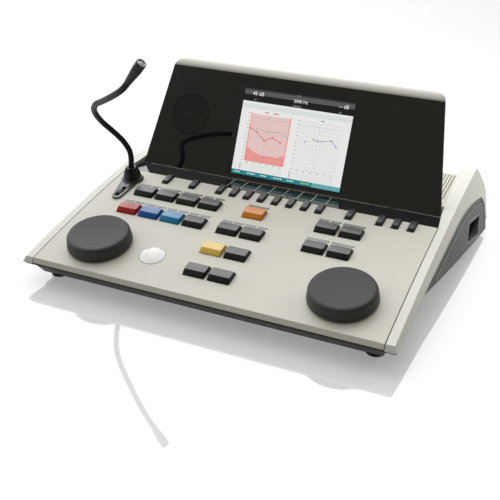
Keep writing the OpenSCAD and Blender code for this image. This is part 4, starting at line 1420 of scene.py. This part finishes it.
class AUDIO_OT_screen(bpy.types.Operator):
    """Draw a generic hearing chart on the screen"""

    bl_idname = "audiometer.screen"
    bl_label = "Screen"

    def execute(self, context):
        head = context.scene.audiometer_head
        low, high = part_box("display_window")
        depth = 0.5 * MM
        place = head_frame()
        centre = place.inverted() @ ((low + high) / 2)
        place = place @ Matrix.Translation((centre.x, centre.y, -depth))
        width, height = head.screen_width, head.screen_height
        self.glass(place, width - 0.2 * MM, height - 0.2 * MM)
        page = ScreenPage(place, width, height)
        lay_out_page(page, width / MM, height / MM)
        page.build(SCREEN_TONES)
        self.readings(place, width, height)
        return {"FINISHED"}

    @staticmethod
    def glass(place, width, height):
        """The clear front of the screen, as a dark slab behind the lit areas."""
        rings = [
            rounded_rectangle(width, height, 0.2 * MM, 0, -1.9 * MM, 2),
            rounded_rectangle(width, height, 0.2 * MM, 0, -0.05 * MM, 2),
            rounded_rectangle(width - 0.1 * MM, height - 0.1 * MM, 0.2 * MM, 0, 0, 2),
        ]
        vertices, faces = loft(rings)
        piece = new_piece(
            "screen_glass",
            placed(place, vertices),
            faces,
            polished_acrylic("clear_screen_front", "#0C0D0E"),
            "display_head",
            30,
        )
        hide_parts("display_window")

    @staticmethod
    def readings(place, width, height):
        """Plain level and frequency readings in the status band."""
        glow = lit_pixels("lit_digits", SCREEN_TONES["digits"])
        band = 0.15 * height
        for name, text, x, y, size in (
            ("level", "45 dB", -0.42, 0.50, 5.0),
            ("tone", "2000 Hz", -0.04, 0.62, 4.2),
            ("second", "-- dB", 0.36, 0.54, 5.0),
        ):
            curve = bpy.data.curves.new(f"reading_{name}", "FONT")
            curve.body = text
            curve.size = size * MM
            curve.offset = 0.02 * MM
            words = new_object(f"reading_{name}", curve)
            bpy.context.view_layer.update()
            mesh = bpy.data.meshes.new_from_object(words)
            bpy.data.objects.remove(words)
            mesh.materials.clear()
            mesh.materials.append(glow)
            mesh.transform(
                place
                @ Matrix.Translation((x * width, height / 2 - y * band, 0.05 * MM))
            )
            piece = new_object(f"reading_{name}", mesh)
            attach(piece, "display_head")


# Points of the gooseneck, each to the right, up the slope and height over the plate,
# in millimetres. It rises, leans to the left and forward, and then runs to the
# right and up.
NECK_POINTS = [
    (0, 0, 6),
    (0, 0, 14),
    (1, 0, 22),
    (0.5, -0.2, 31),
    (-4, -1, 40),
    (-8.5, -3.2, 47),
    (-11.6, -8.3, 55),
    (-12.9, -15.8, 64),
    (-11.7, -24.5, 73.5),
    (-8.5, -33.4, 83),
    (-3.5, -41.5, 92),
    (6, -50.6, 101.6),
    (19, -59.8, 110),
    (31, -68, 117.7),
    (40.5, -73.6, 124),
    (48.5, -77.6, 129.6),
    (54.5, -79.8, 134.2),
    (58.6, -80.8, 138.3),
    (61.5, -81, 141.8),
]
# The bezel: a circle round the collet and a smaller one at its tip, in millimetres
BEZEL_FOOT = 9.5
BEZEL_TIP = Vector((2.9, -34.5))
BEZEL_TIP_RADIUS = 4.6
# The lever's slot in it, and the room that the rim leaves round the slot
SLOT_AT = Vector((1.9, -26.0))
SLOT_WIDTH, SLOT_LENGTH, SLOT_CORNER = 4.6, 17.4, 2.2
SLOT_RIM = 0.35
# The lever's half length, half width and stem, in millimetres
LEVER_HALF_LENGTH, LEVER_HALF_WIDTH = 2.7, 1.6
STEM_WIDTH, STEM_LENGTH, STEM_CORNER = 2.2, 4.8, 0.3


def neck_curve(steps):
    """Points of a smooth curve through NECK_POINTS, in metres."""
    points = [Vector(p) * MM for p in NECK_POINTS]
    last = len(points) - 1
    curve = []
    for i in range(last):
        a, b = points[max(i - 1, 0)], points[i]
        c, d = points[i + 1], points[min(i + 2, last)]
        for k in range(steps):
            t = k / steps
            curve.append(
                0.5
                * (
                    2 * b
                    + (c - a) * t
                    + (2 * a - 5 * b + 4 * c - d) * t * t
                    + (3 * b - a - 3 * c + d) * t * t * t
                )
            )
    curve.append(points[last])
    return curve


def teardrop(inset):
    """Outline of the bezel, smaller by inset: the hull of its two circles."""
    foot, tip = BEZEL_FOOT - inset, BEZEL_TIP_RADIUS - inset
    aim = math.degrees(math.atan2(BEZEL_TIP.y, BEZEL_TIP.x))
    spread = math.degrees(math.acos((foot - tip) / BEZEL_TIP.length))
    points = arc_points((0, 0), foot, aim + spread, aim + 360 - spread, 40)
    points += arc_points(BEZEL_TIP, tip, aim - spread, aim + spread, 24)
    return [Vector(p) for p in points]


def across(centre, ring, outline):
    """Where rays from centre through the points of a ring cross an outline."""
    crossings = []
    for point in ring:
        ray = point - centre
        best = None
        for a, b in zip(outline, outline[1:] + outline[:1]):
            edge = b - a
            det = edge.x * ray.y - edge.y * ray.x
            if abs(det) < 1e-9:
                continue
            start = a - centre
            t = (edge.x * start.y - edge.y * start.x) / det
            u = (ray.x * start.y - ray.y * start.x) / det
            if t > 0 and -1e-6 <= u <= 1 + 1e-6:
                best = t if best is None else max(best, t)
        crossings.append(centre + ray * best)
    return crossings


class AUDIO_OT_microphone(bpy.types.Operator):
    """Build the gooseneck, its collet and bezel, the capsule and the lever"""

    bl_idname = "audiometer.microphone"
    bl_label = "Microphone"

    def execute(self, context):
        sizes = context.scene.audiometer_mic
        joint = JOINTS["mic_swivel"]
        place = local_frame(joint["pos_m"][0], joint["pos_m"][1])
        sleeve = gloss_moulded("black_pvc_sleeve", "#0D0D0C", 0.5, 0.0, 0.22)
        self.neck(place, sizes, sleeve)
        self.capsule(place, sizes)
        self.collet(place, sizes)
        self.bezel(place)
        self.lever()
        return {"FINISHED"}

    @staticmethod
    def neck(place, sizes, material):
        """The sleeve, with the faint waves of the coil under it."""
        curve = neck_curve(24)
        # even steps along the curve, a quarter of a turn of the coil each
        walked = [0.0]
        for a, b in zip(curve, curve[1:]):
            walked.append(walked[-1] + (b - a).length)
        step = sizes.coil_pitch / 4
        count = int(walked[-1] / step)
        rings = []
        index = 0
        sides = 24
        for i in range(count + 1):
            along = min(i * step, walked[-1])
            while index < len(curve) - 2 and walked[index + 1] < along:
                index += 1
            share = (along - walked[index]) / (walked[index + 1] - walked[index])
            centre = curve[index].lerp(curve[index + 1], share)
            ahead = (curve[index + 1] - curve[max(index - 1, 0)]).normalized()
            aside = ahead.cross(Vector((0, 1, 0))).normalized()
            top = aside.cross(ahead)
            swell = 0.04 * MM * math.cos(math.tau * i / 4)
            radius = sizes.neck_radius - 0.04 * MM + swell
            ring = []
            for k in range(sides):
                angle = math.tau * k / sides
                offset = aside * math.cos(angle) + top * math.sin(angle)
                ring.append(place @ (centre + offset * radius))
            rings.append(ring)
        vertices, faces = loft(rings)
        mesh = bpy.data.meshes.new("gooseneck_sleeve")
        mesh.from_pydata([tuple(v) for v in vertices], [], faces)
        mesh.update()
        mesh.materials.append(material)
        outward(mesh)
        mesh.shade_smooth()
        piece = new_object("gooseneck_sleeve", mesh)
        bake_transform(piece)
        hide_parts("mic_arm", "mic_boom")

    @staticmethod
    def capsule(place, sizes):
        """The tapered body, the bright ring at its end and the mesh inside that."""
        end = Vector(NECK_POINTS[-1]) * MM
        before = Vector(NECK_POINTS[-2]) * MM
        turn = (end - before).to_track_quat("Z", "Y").to_matrix().to_4x4()
        seat = place @ Matrix.Translation(end) @ turn
        r, length = sizes.capsule_radius, sizes.capsule_length
        neck = sizes.neck_radius
        profile = [
            (0.5 * MM, -0.6 * MM),
            (neck + 0.1 * MM, -0.6 * MM),
            (neck + 0.3 * MM, -0.2 * MM),
            (neck + 0.3 * MM, 1.0 * MM),
            (neck + 0.75 * MM, 6 * MM),
            (r - 0.45 * MM, 10.5 * MM),
            (r - 0.15 * MM, 13 * MM),
            (r, 15.5 * MM),
            (r, 17.0 * MM),
            (r - 0.25 * MM, 17.2 * MM),
            (r - 0.25 * MM, 17.8 * MM),
            (r, 18.0 * MM),
            (r, length - 0.9 * MM),
        ]
        profile += arc_points((r - 0.45 * MM, length - 0.45 * MM), 0.45 * MM, 0, 90, 6)
        profile += [
            (r - 0.8 * MM, length - 0.1 * MM),
            (r - 0.85 * MM, length - 1.2 * MM),
            (0.5 * MM, length - 1.2 * MM),
        ]
        vertices, faces = loft(lathe(profile, 64))
        body = new_piece(
            "capsule_body",
            placed(seat, vertices),
            faces,
            gloss_moulded("black_lacquered_brass", "#0E0E0E", 0.34, 0.05, 0.3),
            "neck_upper",
            35,
        )
        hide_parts("mic_capsule")
        # a bright ring and the woven mesh inside it close the end
        ring = [
            (r - 0.9 * MM, length - 1.2 * MM),
            (r - 0.75 * MM, length - 0.2 * MM),
            (r - 1.0 * MM, length - 0.05 * MM),
            (r - 1.3 * MM, length - 0.2 * MM),
            (r - 1.35 * MM, length - 1.2 * MM),
        ]
        vertices, faces = loft(lathe(ring, 64))
        band = new_piece(
            "capsule_ring",
            placed(seat, vertices),
            faces,
            turned_steel("bright_ring_steel", "#C9CBCD"),
            "neck_upper",
            35,
        )
        inner = r - 1.3 * MM
        dome = [(inner, length - 1.3 * MM)]
        for angle in range(0, 90, 10):
            turn = math.radians(angle)
            dome.append(
                (inner * math.cos(turn), length - 0.9 * MM + 0.6 * MM * math.sin(turn))
            )
        vertices, faces = loft(lathe(dome, 48))
        grille = new_piece(
            "capsule_grille",
            placed(seat, vertices),
            faces,
            wire_mesh("woven_wire", "#B9BBBD"),
            "neck_upper",
            60,
        )

    @staticmethod
    def collet(place, sizes):
        """Glossy black foot of the gooseneck: a flange, and a cone cut into petals."""
        flange, height = sizes.flange_radius / MM, sizes.collet_height / MM
        bore = sizes.neck_radius / MM
        # radius, height and depth of the cuts between the petals
        profile = [(flange - 0.3, 0.0, 0), (flange, 0.3, 0), (flange, 1.0, 0)]
        profile += [(flange - 0.25, 1.6, 0), (flange - 0.9, 2.1, 0)]
        profile += [(flange - 1.5, 2.3, 0), (8.9, 2.3, 0), (8.7, 2.7, 0)]
        profile += [(8.6, 3.6, 0.2), (8.35, 5.2, 0.7), (7.8, 7.6, 0.9)]
        profile += [(7.0, 10.2, 0.9), (6.1, 12.2, 0.8), (5.5, 13.3, 0.7)]
        profile += [(5.0, height - 0.2, 0.6), (4.5, height, 0.3)]
        profile += [(bore + 0.25, height, 0), (bore + 0.1, height - 0.6, 0)]
        steps, petals = 180, 6
        rings = []
        for radius, up, cut in profile:
            ring = []
            for i in range(steps):
                angle = math.tau * i / steps
                phase = (i / steps * petals) % 1
                gap = min(phase, 1 - phase) * math.tau / petals * radius
                depth = cut * max(0.0, 1 - (gap / 0.55) ** 2)
                ring.append(polar((radius - depth) * MM, angle, up * MM))
            rings.append(ring)
        vertices, faces = loft(rings, True, False)
        piece = new_piece(
            "collet_cone",
            placed(place, vertices),
            faces,
            gloss_moulded("gloss_black_nylon", "#0C0C0C", 0.26, 0.08, 0.35),
            "console",
            38,
        )
        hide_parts("mic_collet")

    @staticmethod
    def bezel(place):
        """Satin metal plate round the collet and the lever, with a raised rim."""
        slot = []
        for p in rounded_rectangle(SLOT_WIDTH, SLOT_LENGTH, SLOT_CORNER, 0, 0, 4):
            slot.append(Vector((p.x, p.y)) + SLOT_AT)
        ring = []
        for a, b in zip(slot, slot[1:] + slot[:1]):
            parts = max(1, round((b - a).length / 0.9))
            ring += [a.lerp(b, k / parts) for k in range(parts)]
        wide = []
        for p in ring:
            away = p - SLOT_AT
            wide.append(SLOT_AT + away * (1 + SLOT_RIM / away.length))
        # the slot in the plate below is narrower, with a black floor round it that is painted
        # shade
        inner = []
        for p in ring:
            away = p - SLOT_AT
            inner.append(SLOT_AT + Vector((away.x * 0.62, away.y * 0.99)))
        layers = []
        for inset, height in ((0, -0.1), (0, 0.9), (0.3, 1.35), (0.8, 1.4), (1.0, 1.1)):
            layers.append((across(SLOT_AT, ring, teardrop(inset)), height))
        layers += [(wide, 1.1), (ring, 0.9)]
        layers += [(ring, 0.08), (inner, 0.08), (inner, -2.6)]
        rings = [
            [Vector((p.x * MM, p.y * MM, height * MM)) for p in points]
            for points, height in layers
        ]
        vertices, faces = loft(rings, False, True)
        piece = new_piece(
            "microphone_bezel",
            placed(place, vertices),
            faces,
            brushed_zinc("satin_zinc_bezel", "#5C5D5E"),
            "console",
            30,
        )
        # painted shade: the floor and the walls low in the slot get a near-black finish
        piece.data.materials.append(moulded_abs("painted_slot_shade", "#0C0C0C", 0.6))
        inverse = place.inverted()
        for polygon in piece.data.polygons:
            local = inverse @ polygon.center
            aside = (Vector((local.x, local.y)) / MM - SLOT_AT).length
            if local.z < 0.5 * MM and aside < SLOT_LENGTH / 2 + 0.1:
                polygon.material_index = 1

    @staticmethod
    def lever():
        """Small slider in the bezel's slot: its top slopes down to the front."""
        low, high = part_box("talk_lever")
        place = local_frame((low.x + high.x) / 2, -31 * MM)
        half, foot = LEVER_HALF_LENGTH, 0.65
        section = [(-half, foot), (half, foot), (half, 2.6), (half - 0.6, 3.2)]
        section += [(0.6, 3.2), (0.1, 2.7), (-0.6, 2.4), (-half + 0.7, 1.5)]
        section += [(-half, 1.0)]
        rings = []
        # the upper edges are rounded at both sides
        for share, shrink in ((-1, 0.3), (-0.88, 0), (0.88, 0), (1, 0.3)):
            x = share * LEVER_HALF_WIDTH * MM
            ring = []
            for y, z in section:
                drop = shrink if z > foot else 0
                ring.append(Vector((x, y * (1 - shrink / 4) * MM, (z - drop) * MM)))
            rings.append(ring)
        stem = [
            rounded_rectangle(
                STEM_WIDTH * MM, STEM_LENGTH * MM, STEM_CORNER * MM, 0, up * MM, 3
            )
            for up in (-1.8, 0.8)
        ]
        vertices, faces = loft(rings)
        more, sides = loft(stem)
        faces += [tuple(i + len(vertices) for i in face) for face in sides]
        vertices += more
        piece = new_piece(
            "lever_slider",
            placed(place, vertices),
            faces,
            gloss_moulded("grey_lever_abs", "#505253", 0.24, 0.3),
            "lever",
            30,
        )
        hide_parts("talk_lever")


class AUDIO_OT_marks(bpy.types.Operator):
    """Print the pointer lines between the function keys and the screen"""

    bl_idname = "audiometer.marks"
    bl_label = "Printed lines"

    def execute(self, context):
        ink = printed_ink("white_ink", "#D9DAD8")
        low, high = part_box("key_ledge")
        vertices = []
        faces = []
        # upper face of the ledge runs from its front top edge to the head
        front = Vector((0, low.y, high.z))
        head_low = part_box("display_front")[0]
        back = Vector((0, high.y, head_low.z + 0.875 * MM))
        along = (back - front).normalized()
        out = Vector((0, -along.z, along.y))
        film = 0.06 * MM
        half_line = 0.22 * MM
        for i in range(1, 9):
            k_low, k_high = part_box(f"soft_key_{i}")
            x = (k_low.x + k_high.x) / 2
            start = front + along * (k_high.y - front.y + 1.5 * MM) + out * film
            end = back - along * 1.2 * MM + out * film
            first = len(vertices)
            for point, side in ((start, -1), (start, 1), (end, 1), (end, -1)):
                vertices.append(Vector((x + side * half_line, point.y, point.z)))
            faces.append((first, first + 1, first + 2, first + 3))
        piece = new_piece("ledge_lines", vertices, faces, ink, "console")
        return {"FINISHED"}


# Where the lamp stands and aims, and where the sky is brightest and has its soft box
LAMP_AT = (0.45, 0.45, 0.30)
LAMP_AIM = Vector((0.18, 0.10, 0.04))
BRIGHT_SKY = (-0.60, 0.50, 0.62)
SOFTBOX_SKY = (-0.45, 0.62, 0.64)
# Share of the table's surface that mirrors
TABLE_SHINE = 0.16


class AUDIO_OT_stage(bpy.types.Operator):
    """Set the camera, the lamps and the floor"""

    bl_idname = "audiometer.stage"
    bl_label = "Stage"

    def execute(self, context):
        scene = context.scene
        sizes = scene.audiometer_stage
        camera = bpy.data.cameras.new("camera")
        camera.lens = sizes.lens
        camera.sensor_width = 36
        camera.clip_start = 0.01
        eye = new_object("camera", camera)
        eye.location = sizes.camera_at
        eye.rotation_euler = (
            math.radians(90 - sizes.camera_pitch), 0, math.radians(sizes.camera_yaw)
        )
        scene.camera = eye
        self.floor(sizes)
        self.lamp(sizes)
        self.world(scene, sizes)
        scene.view_settings.view_transform = "Standard"
        return {"FINISHED"}

    @staticmethod
    def floor(sizes):
        """White glass table: it shows as white, keeps the soft shadow and mirrors
        the object faintly, but throws only part of its light back at it."""
        half = 4.0
        mesh = bpy.data.meshes.new("floor")
        mesh.from_pydata(
            [(-half, -half, 0), (half, -half, 0), (half, half, 0), (-half, half, 0)],
            [],
            [(0, 1, 2, 3)],
        )
        mesh.update()
        material, tree, shader = new_material(
            "opal_glass_table", "#B9B9B9", Roughness=0.5, Specular_IOR_Level=0.0
        )
        shader.inputs["Emission Color"].default_value = (1, 1, 1, 1)
        shader.inputs["Emission Strength"].default_value = sizes.glow
        polish = add_node(tree, "ShaderNodeBsdfGlossy", Roughness=0.03)
        glass = add_node(
            tree,
            "ShaderNodeMixShader",
            [(1, shader, 0), (2, polish, 0)],
            Fac=TABLE_SHINE,
        )
        ray = add_node(tree, "ShaderNodeLightPath")
        dim = add_node(tree, "ShaderNodeBsdfDiffuse")
        dim.inputs["Color"].default_value = (sizes.bounce,) * 3 + (1,)
        mix = add_node(
            tree,
            "ShaderNodeMixShader",
            [(0, ray, "Is Diffuse Ray"), (1, glass, 0), (2, dim, 0)],
        )
        tree.links.new(mix.outputs[0], tree.nodes["Material Output"].inputs["Surface"])
        mesh.materials.append(material)
        floor = new_object("floor", mesh)
        floor.location.z = -0.0002

    @staticmethod
    def lamp(sizes):
        """Large lamp behind the object on its right, which lights that side wall
        and fades along it towards the front."""
        light = bpy.data.lights.new("side_lamp", "AREA")
        light.shape = "SQUARE"
        light.size = 0.25
        light.energy = sizes.side_light
        lamp = new_object("side_lamp", light)
        lamp.location = LAMP_AT
        aim = LAMP_AIM - lamp.location
        lamp.rotation_euler = aim.to_track_quat("-Z", "Y").to_euler()
        lamp.visible_glossy = False

    @staticmethod
    def world(scene, sizes):
        """A pale room: white to the camera, and on the object a plain soft light that
        comes more from above and behind than from the front, with one soft box."""
        world = bpy.data.worlds.new("room")
        world.use_nodes = True
        scene.world = world
        tree = world.node_tree
        tree.nodes.clear()
        ray = add_node(tree, "ShaderNodeLightPath")
        place = add_node(tree, "ShaderNodeTexCoord")
        room = towards_sky(tree, place, BRIGHT_SKY, 0.1, 0.9)
        box = towards_sky(tree, place, SOFTBOX_SKY, 0.72, 0.93)
        shade = add_node(
            tree, "ShaderNodeMix", [("Factor", room, "Result")], data_type="RGBA"
        )
        warm = linear("#FFFAE6")
        shade.inputs["A"].default_value = [c * sizes.front_light for c in warm]
        shade.inputs["B"].default_value = [sizes.rear_light] * 3 + [1]
        extra = add_node(
            tree, "ShaderNodeMath", [(0, box, "Result")], operation="MULTIPLY_ADD"
        )
        extra.inputs[1].default_value = sizes.softbox / sizes.rear_light
        extra.inputs[2].default_value = 1.0
        soft = add_node(
            tree, "ShaderNodeBackground", [("Strength", extra, 0), ("Color", shade, 2)]
        )
        white = add_node(tree, "ShaderNodeBackground", Strength=1.0)
        white.inputs["Color"].default_value = (1, 1, 1, 1)
        mix = add_node(
            tree,
            "ShaderNodeMixShader",
            [(0, ray, "Is Camera Ray"), (1, soft, 0), (2, white, 0)],
        )
        add_node(tree, "ShaderNodeOutputWorld", [("Surface", mix, 0)])


class AUDIO_PT_panel(bpy.types.Panel):
    """Lists the steps that build the audiometer."""

    bl_idname = "AUDIO_PT_panel"
    bl_label = "Audiometer"
    bl_space_type = "VIEW_3D"
    bl_region_type = "UI"
    bl_category = "Audiometer"

    def draw(self, context):
        for step in STEPS:
            self.layout.operator(step.bl_idname)


GROUPS = {
    "audiometer_case": CaseSizes,
    "audiometer_panel": PanelSizes,
    "audiometer_keys": KeySizes,
    "audiometer_dials": DialSizes,
    "audiometer_head": HeadSizes,
    "audiometer_mic": MicSizes,
    "audiometer_finishes": Finishes,
    "audiometer_stage": StageSizes,
}
STEPS = [
    AUDIO_OT_stage,
    AUDIO_OT_case,
    AUDIO_OT_edge_highlights,
    AUDIO_OT_keys,
    AUDIO_OT_dials,
    AUDIO_OT_head,
    AUDIO_OT_screen,
    AUDIO_OT_microphone,
    AUDIO_OT_marks,
]


def register():
    for group in GROUPS.values():
        bpy.utils.register_class(group)
    for name, group in GROUPS.items():
        setattr(bpy.types.Scene, name, PointerProperty(type=group))
    for step in STEPS:
        bpy.utils.register_class(step)
    bpy.utils.register_class(AUDIO_PT_panel)


def unregister():
    bpy.utils.unregister_class(AUDIO_PT_panel)
    for step in reversed(STEPS):
        bpy.utils.unregister_class(step)
    for name, group in GROUPS.items():
        delattr(bpy.types.Scene, name)
        bpy.utils.unregister_class(group)


def main():
    register()
    for step in STEPS:
        family, name = step.bl_idname.split(".")
        getattr(getattr(bpy.ops, family), name)()


if __name__ == "__main__":
    main()
